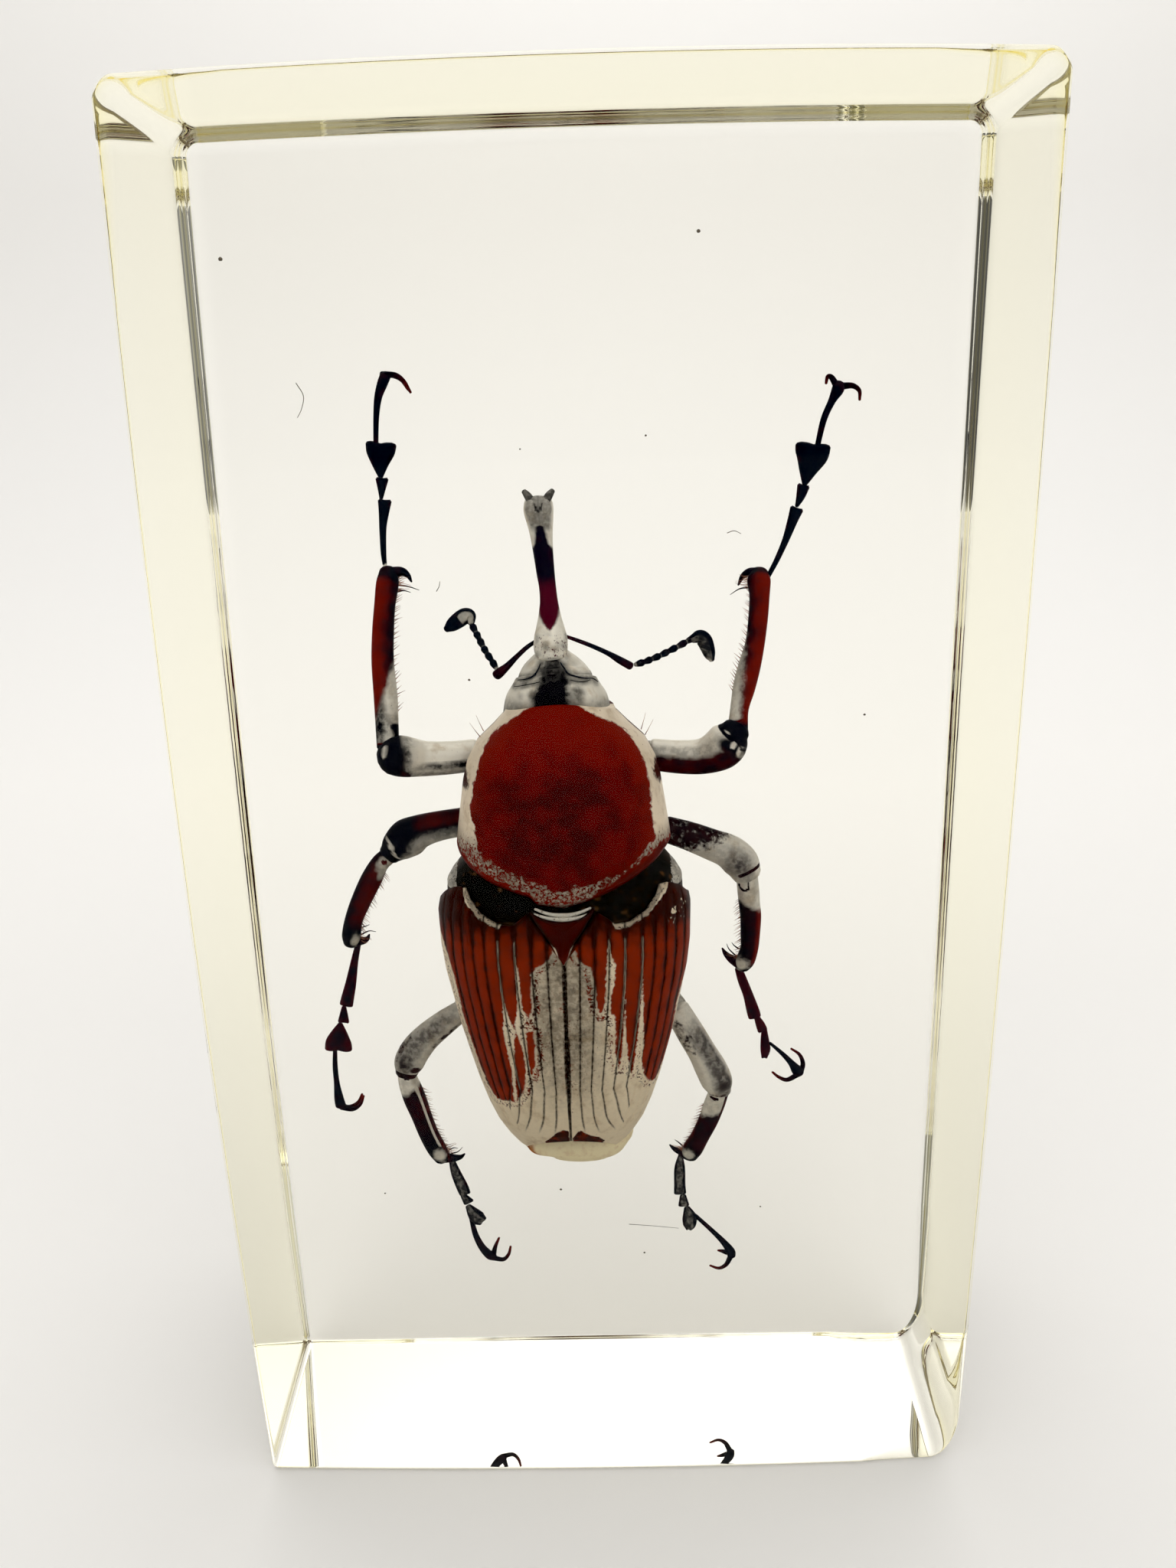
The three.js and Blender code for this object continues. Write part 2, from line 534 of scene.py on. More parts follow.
# What is left of the silver's red, green and blue where it is cloudy.
SILVER_SHADED = (0.74, 0.68, 0.61, 1.0)
BLACK = linear(7, 6, 11)
LOOKS = {
    "disc": dict(
        deep=linear(66, 2, 1), bright=linear(130, 18, 4), dark=linear(26, 5, 4),
        silver=linear(255, 238, 214), ragged=0.2, patch=0.4, mottle=1.3,
    ),
    "wing_case": dict(
        deep=linear(44, 6, 3), bright=linear(146, 40, 10), dark=linear(26, 12, 7),
        silver=linear(255, 238, 210), ragged=0.2, patch=0.22,
    ),
    "limb": dict(
        deep=linear(22, 4, 16), bright=linear(126, 22, 12), dark=linear(6, 8, 20),
        ragged=0.24, patch=0.4, soft=0.15, uneven=0.45,
    ),
    "mottled_limb": dict(
        deep=linear(24, 8, 16), bright=linear(88, 32, 26), dark=linear(26, 14, 24),
        ragged=0.42, patch=0.32, soft=0.13,
    ),
    "tarsus": dict(
        deep=linear(5, 13, 27), bright=linear(78, 18, 28), dark=linear(8, 15, 28), ragged=0.1, patch=0.3,
    ),
    # Where the core's tone is low, as in the gap behind the pronotum, its near-black deep colour is painted
    # shade.
    "core": dict(deep=linear(5, 3, 2), bright=linear(112, 74, 40), ragged=0.35, patch=0.3),
    "snout": dict(deep=linear(10, 6, 26), bright=linear(84, 6, 32), ragged=0.1, patch=0.25, soft=0.1),
    "head": dict(deep=linear(4, 5, 14), bright=linear(50, 24, 34), ragged=0.3, patch=0.4, soft=0.22),
    # The tail plate's pale cream is partly its own colour and partly painted light, lifted near white for
    # the glow of light through it.
    "tail": dict(
        deep=linear(176, 100, 34), bright=linear(255, 240, 200), ragged=0.1, patch=0.4, mottle=0.5,
    ),
}


def cuticle(
    name, deep, bright, ragged, patch, soft=0.05, mottle=0.8, dark=BLACK, uneven=0.3, silver=SILVER
):
    """Insect skin sealed in resin.

    Where the resin wets it the skin is deep and saturated, from `deep` to `bright` in patches of `mottle`.
    Where `film` is above 0 the resin has come away, and the thin air gap looks silver. `ragged` is how far,
    in millimetres, the silver's edge wanders, in patches of `patch`. Where `worn` is near 1 the skin shows
    through the silver in specks. `uneven` is how cloudy the silver's shade is.
    """
    paint = Paint(name)
    wander = paint.times(paint.minus(paint.noise(patch, 5.0, 0.65), 0.5), 2.0 * ragged)
    gap = paint.ramp(paint.plus(paint.mark("film"), wander), -soft, soft)
    specks = paint.minus(paint.noise(0.15, 4.0, 0.65), paint.times(paint.mark("worn"), 0.42))
    gap = paint.times(gap, paint.minus(1.0, paint.ramp(specks, 0.33, 0.20)))
    cloud = paint.ramp(paint.noise(mottle, 5.0, 0.62), 0.3, 0.7, -0.22, 0.22)
    tone = paint.ramp(paint.plus(paint.mark("tone"), cloud), 0.0, 1.0)
    skin = paint.mix(paint.mix(deep, bright, tone), dark, paint.mark("dark"))
    shaded = [level * share for level, share in zip(silver, SILVER_SHADED)]
    film_colour = paint.mix(shaded, silver, paint.ramp(paint.noise(0.9, 4.0, 0.6), 0.22, 0.52))
    clouds = paint.ramp(paint.noise(patch, 5.0, 0.6), 0.36, 0.62, 1 - uneven, 1 + 0.4 * uneven)
    # The `shade` mark darkens the silver toward `dark`: painted shade at some places, and real dark lines
    # such as the suture at others.
    lit = paint.minus(1.0, paint.times(paint.mark("shade"), clouds))
    lit = paint.math("POWER", paint.math("MAXIMUM", lit, 0.0), 2.2)
    film_colour = paint.mix(dark, film_colour, lit)
    paint.surface(
        Base_Color=paint.mix(skin, film_colour, gap),
        Metallic=paint.times(gap, 0.35),
        Roughness=paint.ramp(gap, 0.0, 1.0, 0.45, 0.38),
        Specular_IOR_Level=0.03,
    )
    paint.bump(paint.plus(paint.noise(0.09, 3.0, 0.6), paint.times(gap, 0.5)), 0.03, 0.5)
    return paint.material


def hair_material():
    paint = Paint("insect_hair")
    shade = paint.ramp(paint.noise(0.4), 0.3, 0.7)
    paint.surface(Base_Color=paint.mix(linear(104, 44, 32), linear(188, 128, 96), shade), Roughness=0.5)
    return paint.material


def dust_material():
    paint = Paint("dust_in_resin")
    colour = paint.mix(linear(70, 62, 54), linear(150, 138, 120), paint.noise(0.1))
    paint.surface(Base_Color=colour, Roughness=0.8)
    return paint.material


@functools.cache
def finish(name):
    """One of the insect's materials, made when it is first asked for."""
    if name == "hair":
        return hair_material()
    if name == "dust":
        return dust_material()
    return cuticle("insect_" + name, **LOOKS[name])


def skin_piece(name, shape, look, film=-1.0, tone=0.5, dark=0.0, shade=0.0, worn=0.0):
    """A piece of the insect with the marks that its finish reads."""
    points, faces = shape[:2]
    piece(name, points, faces, finish(look), film=film, tone=tone, dark=dark, shade=shade, worn=worn)


# ---------------------------------------------------------------- wing cases

# The x of the suture, where the wing cases meet. By height they have a width each, the y of their crest and
# the y of their edge.
SUTURE_X = -1.8
CASE_WIDTH = [
    (17.6, 2.2), (17.9, 2.6), (18.3, 3.1), (19, 3.65), (20, 4.25), (21.2, 4.75), (22.8, 5.26),
    (24.4, 5.68), (26, 6.08), (27.7, 6.42), (29.4, 6.77), (31, 6.95), (33, 6.97), (34.2, 6.75),
    (35, 6.3),
]
CASE_CREST = [
    (17.6, -0.7), (18.4, -1.2), (19.5, -2.2), (21.5, -3.4), (24, -4.3), (27.2, -4.75), (31, -4.65),
    (35, -4),
]
CASE_EDGE = [(17.6, 0.8), (19.5, 1), (21.5, 1.3), (24, 1.5), (31, 1.5), (33.5, 1.1), (35, 0.5)]
# The height of their base by how far out it is from the suture.
CASE_BASE = [
    (0, 31.1), (0.65, 32.05), (1.4, 33.1), (1.75, 33.7), (2.2, 33.4), (2.75, 32.9), (3.55, 32.95),
    (4.5, 33.45), (5.2, 34.25), (5.65, 34.75), (6, 34.75), (6.35, 34.65), (6.65, 34.35), (6.87, 33.9),
    (7, 33.4),
]
# The height where they end at the suture, and how much lower they end at their edge.
CASE_TIP, CASE_TIP_DROP = 19.0, 1.1
# The striae's places across each wing case, as shares of its width from the suture.
STRIAE = {
    -1: [0, 0.13, 0.25, 0.378, 0.508, 0.615, 0.705, 0.79, 0.87, 0.94, 1],
    1: [0, 0.12, 0.235, 0.347, 0.469, 0.605, 0.7, 0.79, 0.87, 0.94, 1],
}
# The striae that run as thin silver lines through the red.
SILVER_STRIAE = {-1: [3, 4], 1: [3, 4, 5]}
# How square their cross section is, with 2 for an ellipse.
CASE_ROUND = 2.4
# The mesh: columns from one stria to the next, rows, and columns of the fold under the edge.
STRIA_COLS, CASE_ROWS, UNDERFOLD = 11, 210, 14
# The red patches of each wing case and the brown spots at their tips, as outlines of x, z.
RED_LEFT = [
    [
        (-8.2, 34.4), (-8, 36), (-5.22, 36), (-5.22, 30.3), (-5.2, 28.6), (-5.2, 27.5), (-5.25, 26.9),
        (-5.1, 25.7), (-4.9, 24.5), (-4.87, 22.1), (-5.4, 22), (-5.9, 21.95), (-6.45, 22.9),
        (-6.85, 24.4), (-7.2, 25.7), (-7.55, 27.15), (-7.72, 28.3), (-7.9, 29.5), (-8.18, 30.5),
        (-8.45, 31.4), (-8.7, 32), (-9.2, 32.6), (-9.2, 34.4),
    ],
    [
        (-5.46, 36), (-4.35, 36), (-4.35, 29.5), (-4.42, 28.25), (-4.6, 27.2), (-4.4, 26.5),
        (-4.2, 25.5), (-4.1, 24.4), (-4.25, 23.05), (-4.72, 22.1), (-4.75, 25.5), (-4.6, 27),
        (-4.85, 27.6), (-5.15, 28.65), (-5.46, 30.3),
    ],
    [
        (-4.57, 36), (-3, 36), (-2.2, 32.2), (-2.6, 31.2), (-3.3, 30.75), (-3.55, 30.4), (-3.65, 29.35),
        (-3.6, 28.3), (-3.8, 27.8), (-4.15, 28.3), (-4.2, 29.5), (-4.25, 30.5), (-4.57, 31.5),
    ],
    [(-4, 27), (-3.6, 26.95), (-3.55, 26.15), (-3.6, 24.7), (-3.85, 24.05), (-3.95, 25)],
]
RED_RIGHT = [
    [
        (-1.4, 32.4), (-0.6, 36), (0.72, 36), (0.7, 32.6), (0.52, 31.3), (0.4, 29.75), (0.37, 28.6),
        (0.1, 27.95), (-0.05, 28.25), (-0.15, 28.95), (-0.2, 29.8), (-0.4, 30.7), (-1, 31.1),
    ],
    [
        (0.52, 36), (1.56, 36), (1.56, 31.2), (1.48, 29.15), (1.3, 27.05), (1.2, 25.35), (1, 24.35),
        (0.8, 25.4), (0.87, 26.5), (0.85, 27.75), (0.65, 27.95), (0.65, 29), (0.85, 29.7),
        (0.95, 30.75), (0.66, 31.4),
    ],
    [
        (1.36, 36), (2.52, 36), (2.5, 31), (2.36, 29), (2.2, 27.7), (2.1, 26.65), (1.95, 25.2),
        (1.7, 23.85), (1.55, 24.25), (1.45, 25.9),
    ],
    [
        (2.32, 36), (5.8, 36), (5.8, 32), (5.25, 31.05), (5, 29.5), (4.7, 28.7), (4.3, 27.4),
        (4.15, 26.2), (3.95, 24.9), (3.5, 23.6), (3.1, 22.7), (2.75, 22.8), (2.4, 23.45), (2.3, 24.5),
        (2.38, 25.65), (2.4, 28),
    ],
]
BROWN_TIP = {
    -1: [
        (-3.35, 18.9), (-2.9, 19.45), (-2.6, 19.85), (-2.15, 20.1), (-1.9, 19.95), (-1.85, 19.3),
        (-1.9, 18.4), (-2.8, 18.5),
    ],
    1: [
        (-1.7, 19.35), (-1.45, 19.85), (-1.2, 20), (-0.75, 19.6), (-0.2, 19.35), (0.15, 18.9),
        (-0.3, 18.3), (-1.7, 18.3),
    ],
}
# Where the wing cases' outer striae turn outward, near the tip.
SPLAY_FROM, SPLAY_MORE, SPLAY = 23.0, 21.4, 0.12
# The pits along the striae, and the black line where the wing cases meet: z and half width.
PIT_SPACING = 0.42
SUTURE_HALF = [(19, 0.06), (21, 0.08), (23, 0.15), (25, 0.19), (27.5, 0.13), (30.5, 0.1)]
# How far out the silver rim along the base begins and ends.
RIM_ACROSS = {-1: (3.3, 5.3), 1: (2.6, 5.7)}
NO_FILM = -0.25


def case_depth(across, z):
    """The y of the wing cases' outside at a share of the half width and a height."""
    crest, edge = from_table(z, CASE_CREST), from_table(z, CASE_EDGE)
    return edge - (edge - crest) * np.maximum(1 - across**CASE_ROUND, 0) ** (1 / CASE_ROUND)


def case_sheet(side):
    """The outside of one wing case and the fold under its edge, in rows from the base down to the tip.

    Returns its points and, for each, its place across in striae, how deep the striae are cut and how black
    it is beside the suture.
    """
    phase = np.linspace(0, 10, 10 * STRIA_COLS + 1)
    across = np.interp(phase, range(11), STRIAE[side])
    fall = np.linspace(0, 1, CASE_ROWS)[:, None] ** 0.97
    base = from_table(across * CASE_BASE[-1][0], CASE_BASE)
    tip = CASE_TIP - CASE_TIP_DROP * across**2
    z = base + (tip - base) * fall
    out = across * from_table(z, CASE_WIDTH)
    turn = SPLAY * np.maximum(SPLAY_FROM - z, 0) + SPLAY * np.maximum(SPLAY_MORE - z, 0) ** 2
    striae = phase / (1 + turn * (phase < 6))
    cut = rise(0.4, 1.0, striae) * rise(10.0, 9.4, striae) * rise(19.6, 20.6, z)
    pits = 0.5 + 0.5 * np.cos(z / PIT_SPACING * 2 * math.pi + striae * 2.0)
    to_stria = np.abs(striae - np.round(striae))
    crown = 0.02 * np.cos(to_stria * 2 * math.pi) * cut
    groove = hump(to_stria, 0.10) * (0.045 + 0.04 * pits) * cut
    y = case_depth(across, z) + groove + 0.10 * hump(out, 0.10) + 0.5 * hump(fall, 0.012) + crown
    sheet = np.stack([SUTURE_X + side * out, y, z], axis=-1)
    folds = []
    for share in np.arange(1, UNDERFOLD + 1) / UNDERFOLD:
        row = sheet[:, -1].copy()
        row[:, 0] -= side * (0.9 * share**1.5) * np.minimum(1, (z[:, -1] - 16.5) / 4)
        row[:, 1] += 0.55 * math.sin(share * math.pi / 2)
        folds.append(row)
    half = from_table(z, SUTURE_HALF)
    suture = rise(half, 0.6 * half - 0.01, out)
    marks = [np.pad(mark, [(0, 0), (0, UNDERFOLD)], mode="edge").ravel() for mark in (striae, cut, suture)]
    return np.concatenate([sheet, np.stack(folds, axis=1)], axis=1), *marks


def case_film(side, points, striae, below_base, patches):
    """How deep into the silver each point of a wing case is: below 0 in the red and the brown tip."""
    x, _, z = points.T
    away = np.abs(x - SUTURE_X)
    rim = band(away, *RIM_ACROSS[side], 0.15)
    red = np.max([inside(points[:, [0, 2]], outline) for outline in patches], axis=0)
    film = np.maximum(np.maximum(-red, (0.15 - below_base) * rim - 0.3 * (1 - rim)), NO_FILM)
    broken = smooth_noise(points, 0.6, 8.0)
    for count in SILVER_STRIAE[side]:
        to_line = np.abs(striae - count)
        thread = 0.22 - 0.6 * to_line / 0.085 - 0.9 * (1 - band(z, 22.6, 32.3, 0.3)) + 0.2 * broken
        film = np.maximum(film, np.where(to_line < 0.3, thread, NO_FILM))
    if side > 0:
        # A few white specks on the right shoulder.
        near = 1 - np.hypot(x - 4.35, z - 33.15) / 0.7
        specks = 0.45 * smooth_noise(points, 0.24, 3.0) - 0.24 + 0.15 * near
        film = np.maximum(film, np.where(near > 0, specks, NO_FILM))
    return film


def make_wing_case(side, name, patches):
    """One wing case, from the suture round its edge to the fold below. Side is -1 for the left."""
    sheet, striae, cut, suture = case_sheet(side)
    rows, cols = sheet.shape[:2]
    points = sheet.reshape(-1, 3)
    x, _, z = points.T
    away = np.abs(x - SUTURE_X)
    below_base = from_table(away, CASE_BASE) - z
    # Painted shade: the base of each wing case beside the scutellum is dark, with no silver.
    shade_by_shield = rise(0.32, 0.08, below_base) * (away < 1.9)
    tip_spot = inside(points[:, [0, 2]], BROWN_TIP[side])
    film = case_film(side, points, striae, below_base, patches)
    film = np.where(tip_spot > -0.02, -tip_spot, film)
    to_stria = np.abs(striae - np.round(striae))
    tone = 0.80 - 0.72 * hump(to_stria, 0.16) * cut - 0.7 * rise(31.4, 33.4, z)
    tone = tone + 0.1 * smooth_noise(points, 2.5, 3.0)
    tone = np.where(tip_spot > -0.05, 0.2 + 0.5 * smooth_noise(points, 0.3, 4.0), tone)
    tone = tone - 0.3 * rise(-0.02, 0.12, film)
    worn = 0.42 * band(film, 0.1, 0.45, 0.1) * (z > 21.5) + 0.12 * rise(0.45, 0.1, away) * band(z, 21.5, 29)
    worn = worn + 0.2 * rise(2.6, 2.0, away) * band(z, 22.5, 30.5, 1.5)
    line = hump(to_stria, 0.055) * cut * (striae < 5.5)
    dim = 0.36 * rise(2.8, 0.6, away) * rise(20.5, 27, z) * (1 + 0.5 * smooth_noise(points, 0.7, 6.0))
    marks = {
        "film": np.where(shade_by_shield > 0.4, NO_FILM, film),
        "tone": tone,
        # The black suture, and the painted shade beside the scutellum.
        "dark": np.maximum(suture, shade_by_shield),
        "shade": np.clip(0.75 * line + suture + dim + 0.04, 0, 1),
        "worn": worn,
    }
    shape = two_sided(points, rows, cols, (-0.05 * side, 0.12, 0.0))
    skin_piece(name, shape, "wing_case", **{key: np.tile(mark, 2) for key, mark in marks.items()})


# ---------------------------------------------------------------- pronotum, head and snout

# The pronotum's middle; its half width and the y of its crest by height; the height of its rear by how far
# across it is, from -1 to 1; and the outline of its red disc, as x, z.
PRONOTUM_X = -1.7
PRONOTUM_WIDTH = [
    (33.5, 5.55), (35, 5.75), (36.5, 5.85), (37.9, 5.65), (39.2, 5.45), (40.5, 5.25), (41.5, 4.98),
    (42.5, 4.45), (43.3, 3.6), (44, 2.95), (44.6, 2.7),
]
PRONOTUM_CREST = [
    (33.5, -4.2), (36, -4.8), (38, -4.95), (40, -4.65), (42, -3.95), (43.5, -3.1), (44.6, -2.45),
]
PRONOTUM_REAR = [
    (-1, 36.9), (-0.86, 36), (-0.7, 35.4), (-0.5, 34.95), (-0.32, 34.6), (-0.25, 34.15), (0, 33.95),
    (0.16, 34.25), (0.3, 34.5), (0.45, 34.9), (0.64, 35.5), (0.82, 36.2), (0.92, 36.7), (1, 37),
]
DISC = [
    (-1.85, 44.95), (-2.55, 44.88), (-3.2, 44.6), (-3.9, 44.15), (-4.55, 43.7), (-5.25, 43.1),
    (-5.7, 42.35), (-5.95, 41.65), (-6.2, 40.7), (-6.4, 39.7), (-6.45, 39.05), (-6.25, 38.35),
    (-6.2, 37.6), (-5.95, 37), (-5.3, 36.6), (-4.6, 36.15), (-3.6, 35.8), (-2.85, 35.35),
    (-1.95, 35.05), (-1.1, 35.3), (-0.1, 35.5), (1, 35.85), (1.75, 36.15), (2.3, 36.65), (2.8, 37.3),
    (3.1, 37.6), (3.1, 38.3), (2.95, 39.2), (2.95, 39.9), (2.85, 40.7), (2.7, 41.4), (2.4, 42.2),
    (1.9, 42.95), (1.35, 43.5), (0.6, 43.9), (-0.2, 44.4), (-0.75, 44.75), (-1.2, 44.9),
]
THORAX_SIDES, THORAX_ROWS, THORAX_SQUARE = 300, 130, 2.4
THORAX_MIDDLE, THORAX_DEEP = 0.4, 5.2
# The rim along its rear that has no silver: x and width.
REAR_RIM = [
    (-7.5, 0.5), (-5.5, 0.5), (-3.4, 0.42), (-2.9, 0.08), (-0.6, 0.08), (0, 0.42), (2.2, 0.75),
    (3.4, 0.75), (4, 0.3),
]
# Two breaks in the silver border where the fore legs' sockets are: x, z and size.
SOCKETS = [(-7, 40.7, 0.55), (3.75, 41, 0.75)]


def thorax_points():
    """The fore body as a closed tube of rings: the domed shield above and its rounded underside."""
    cos, sin = squared_circle(THORAX_SIDES, THORAX_SQUARE)
    share = np.linspace(0, 1, THORAX_ROWS)[:, None]
    rear = from_table(cos, PRONOTUM_REAR)
    front = 44.75 - 0.5 * cos**2
    z = rear + (front - rear) * share
    x = PRONOTUM_X + from_table(z, PRONOTUM_WIDTH) * cos
    crest = from_table(z, PRONOTUM_CREST) - THORAX_MIDDLE
    swell = 0.55 * np.sin(np.clip(share, 0.02, 0.98) * math.pi) ** 0.4 + 0.45
    under = THORAX_DEEP * swell * rise(45.6, 43.4, z) ** 0.5
    lip = 0.45 * hump(share * 10.5, 0.16) * (sin > 0)
    y = THORAX_MIDDLE + np.where(sin > 0, crest * sin, -under * sin) + lip
    return close_rings(np.stack([x, y, z], axis=-1))


def make_pronotum():
    """The shield behind the head: a red disc with a silver border, worn toward the rear."""
    points = thorax_points()
    x, y, z = points.T
    top = y < 0.8
    disc = smooth_rows(DISC + DISC[:1], 3)[:-1]
    in_disc = inside(points[:, [0, 2]], disc)
    scallop = 0.02 * np.sin(np.arctan2(z - 39.6, x - PRONOTUM_X) * 46)
    rear = from_table((x - PRONOTUM_X) / 5.8, PRONOTUM_REAR)
    rim = from_table(x, REAR_RIM) - (z - rear)
    film = np.where(top, -np.maximum(in_disc + scallop, rim), -0.6)
    for socket_x, socket_z, size in SOCKETS:
        away = np.hypot(x - socket_x, (z - socket_z) * 0.8)
        film = np.where(top, np.minimum(film, (away - size * 0.8) * 0.6), film)
    rear_band = rise(38.4, 36.8, z)
    film = film + np.where(top, 0.22 * smooth_noise(points, 0.3, 2.0) * rear_band, 0.0)
    wide = np.hypot(x - PRONOTUM_X, z - 38.8) / 5.2
    tone = 0.26 + 0.46 * wide**2 + 0.12 * smooth_noise(points, 1.1, 7.0) + 0.25 * rise(40, 43.5, z)
    socket = (z > 39.6) & (z < 42.0) & (in_disc < -0.1)
    dark = np.where(top, np.maximum(0.5 * rise(0.0, 0.3, rim), 0.8 * socket), 0.75)
    worn = np.where(top, 0.47 * rear_band + 0.1, 0.0)
    shape = (points, ring_faces(THORAX_ROWS, THORAX_SIDES))
    skin_piece("pronotum", shape, "disc", film, tone, dark, 0.4 * rear_band, worn)


# The middle of the body under the wing cases; its half width, the y of its back and the y of its belly by
# height; and the heights of the belly's seams.
CORE_X = -1.75
CORE_WIDTH = [
    (17.6, 1.2), (18, 2.3), (18.8, 3.1), (20, 3.9), (22, 4.65), (25, 5.45), (28, 6.1), (31, 6.45),
    (33.6, 6.5), (34.6, 6.45), (35.2, 6.1), (35.8, 5.6), (36.4, 5.2), (37.4, 4.9), (38.2, 4.4),
]
CORE_TOP = [
    (17.6, 1), (18.5, -0.4), (20, -1.6), (24, -3.6), (30, -3.9), (33.5, -3.5), (35, -3.3), (37, -3.2),
    (38.2, -3),
]
CORE_UNDER = [
    (17.6, 1.6), (18.2, 2.6), (20, 3.9), (23, 4.8), (27, 5.3), (31, 5.6), (35, 5.2), (38.2, 4.6),
]
BELLY_SEAMS = [19.2, 20.9, 22.4, 23.9, 25.5, 30.6]
CORE_SIDES, CORE_ROWS, CORE_SQUARE, CORE_MIDDLE = 200, 210, 2.3, 1.4


def make_core():
    """The body below the wing cases: near black between them and the pronotum, as painted shade in that
    gap, with a plated belly.
    """
    cos, sin = squared_circle(CORE_SIDES, CORE_SQUARE)
    z = np.linspace(CORE_TOP[0][0], CORE_TOP[-1][0], CORE_ROWS)[:, None] * np.ones(CORE_SIDES)
    x = CORE_X + from_table(z, CORE_WIDTH) * cos
    top, under = from_table(z, CORE_TOP), from_table(z, CORE_UNDER)
    y = CORE_MIDDLE + np.where(sin > 0, (top - CORE_MIDDLE) * sin, (CORE_MIDDLE - under) * sin)
    bow = z + 0.5 * np.cos(np.clip(cos, -1, 1) * math.pi / 2)
    for seam in BELLY_SEAMS:
        step = hump(bow - seam, 0.10) - 0.35 * hump(bow - seam - 0.45, 0.4)
        y = y - 0.16 * step * np.where(sin < 0, np.abs(sin) ** 0.3, 0)
    keel = 0.1 * hump(x - CORE_X, 0.12) * (z > 26)
    points = close_rings(np.stack([x, y - keel * (sin < 0), z], axis=-1))
    points[:, 1] += 0.08 * smooth_noise(points, 0.7, 1.0) + 0.04 * smooth_noise(points, 0.25, 5.0)
    x, y, z = points.T
    gap = (z > 33.0) & (y < 0)
    sides = (np.abs(x - CORE_X) > 5.8) & (z > 34.3) & (y < 2.6)
    belly = y > 1.6
    seams = np.max([hump(np.append(bow.ravel(), [0, 0]) - seam, 0.12) for seam in BELLY_SEAMS], axis=0)
    film = np.where(belly, 0.3 * seams + 0.5 * smooth_noise(points, 1.6) - 0.34, -0.9)
    film = np.where(sides, 0.25, film)
    # Painted shade: where the gap between the pronotum and the wing cases shows, the tone is near black
    # with brown mottles.
    tone = np.where(gap, 0.6 * rise(0.2, 0.6, smooth_noise(points, 0.35, 9.0)) - 0.1, 0.3)
    tone = np.where(belly & ~gap, 0.35 + 0.3 * smooth_noise(points, 1.2, 3.0), tone)
    dark = np.where(gap | sides | belly, 0.0, 0.5)
    shade = np.where(sides, 0.25 + 0.25 * smooth_noise(points, 0.5, 2.0), np.where(belly, 0.3, 0.0))
    worn = np.where(belly | sides, 0.4, 0.0)
    shape = (points, ring_faces(CORE_ROWS, CORE_SIDES))
    skin_piece("body_core", shape, "core", film, tone, dark, shade, worn)


# The scutellum's outline: x, z.
SCUTELLUM = [
    (-3.6, 33.95), (-2.7, 33.5), (-1.85, 33.4), (-0.95, 33.5), (-0.1, 34), (-0.72, 32.85),
    (-1.32, 31.9), (-1.86, 30.75), (-2.38, 31.9), (-3, 32.9), (-3.6, 33.95),
]
SCUTELLUM_MIDDLE = np.array([-1.8, 32.75])


def make_scutellum():
    """The small dark red shield between the wing cases, with a silver edge."""
    outline = smooth_rows(SCUTELLUM, 5)[:-1]
    rings = []
    for share in np.linspace(1, 0.02, 14):
        x, z = (SCUTELLUM_MIDDLE + (outline - SCUTELLUM_MIDDLE) * share).T
        rings.append(np.stack([x, -4.42 - 0.32 * (1 - share**2) + 0.05 * (z - 33), z], axis=-1))
    rings = np.array([rings[0] + (0, 0.5, 0)] + rings)
    points = close_rings(rings)
    edge = inside(points[:, [0, 2]], outline)
    film = 0.055 - edge - 0.25 * rise(31.6, 32.6, points[:, 2])
    dark = 0.3 + 0.65 * rise(0.22, 0.05, edge) * rise(31.4, 32.2, points[:, 2])
    skin_piece("scutellum", (points, ring_faces(len(rings), len(outline))), "disc", film, 0.2, dark)


# The crescents between the pronotum and the scutellum: z, sag, half length and y.
CRESCENTS = [(34, 0.35, 1.45, -4.42), (33.72, 0.3, 1.5, -4.46)]


def make_rear_lobe():
    """The silvery crescents between the pronotum and the scutellum."""
    parts = []
    for z, sag, half, y in CRESCENTS:
        arc = []
        for u in np.linspace(-1, 1, 7):
            place = (-1.78 + half * u, y + 0.12 * u * u, z - sag * (1 - u * u) + 0.05)
            arc.append((*place, 0.13 - 0.06 * abs(u)))
        parts.append(sweep(arc, sides=12, thick=0.7)[:2])
    skin_piece("rear_lobe", joined(parts), "core", 0.4, 0.5, 0.0, 0.16, 0.25)


# The tail plate's stations, like those of the head, snout and limbs below: x, y, z and half width.
TAIL = [
    (-1.4, 0.9, 19.3, 3), (-1.4, 0.75, 18.6, 3.2), (-1.35, 0.6, 18.05, 3.05), (-1.3, 0.6, 17.55, 2.55),
    (-1.3, 0.65, 17.15, 1.7),
]


def make_tail():
    """The last plate of the abdomen, cream with a brown rim, below the wing cases."""
    points, faces, along, side = sweep(TAIL, sides=72, per=9, thick=0.42, caps=(0.2, 0.16))
    rim = rise(0.78, 0.98, np.abs(side)) * rise(-0.2, 0.6, side)
    corners = rise(0.25, 0.0, along) * rise(0.1, 0.5, np.abs(side))
    tone = 0.92 - 0.8 * rim - 0.75 * corners + 0.12 * smooth_noise(points, 0.5)
    skin_piece("pygidium", (points, faces), "tail", tone=tone)


# The black down the head's middle, as an outline of x, z.
HEAD_BLACK = [
    (-3, 44), (-3.1, 44.7), (-3.15, 45.1), (-2.85, 45.5), (-2.62, 45.85), (-2.7, 46.1), (-2.62, 46.45),
    (-2.3, 46.6), (-2.15, 46), (-1.75, 46), (-1.6, 46.62), (-1.4, 46.5), (-1.2, 46.2), (-1.1, 45.9),
    (-1.15, 45.6), (-1.1, 45), (-1, 44.4), (-0.9, 44),
]
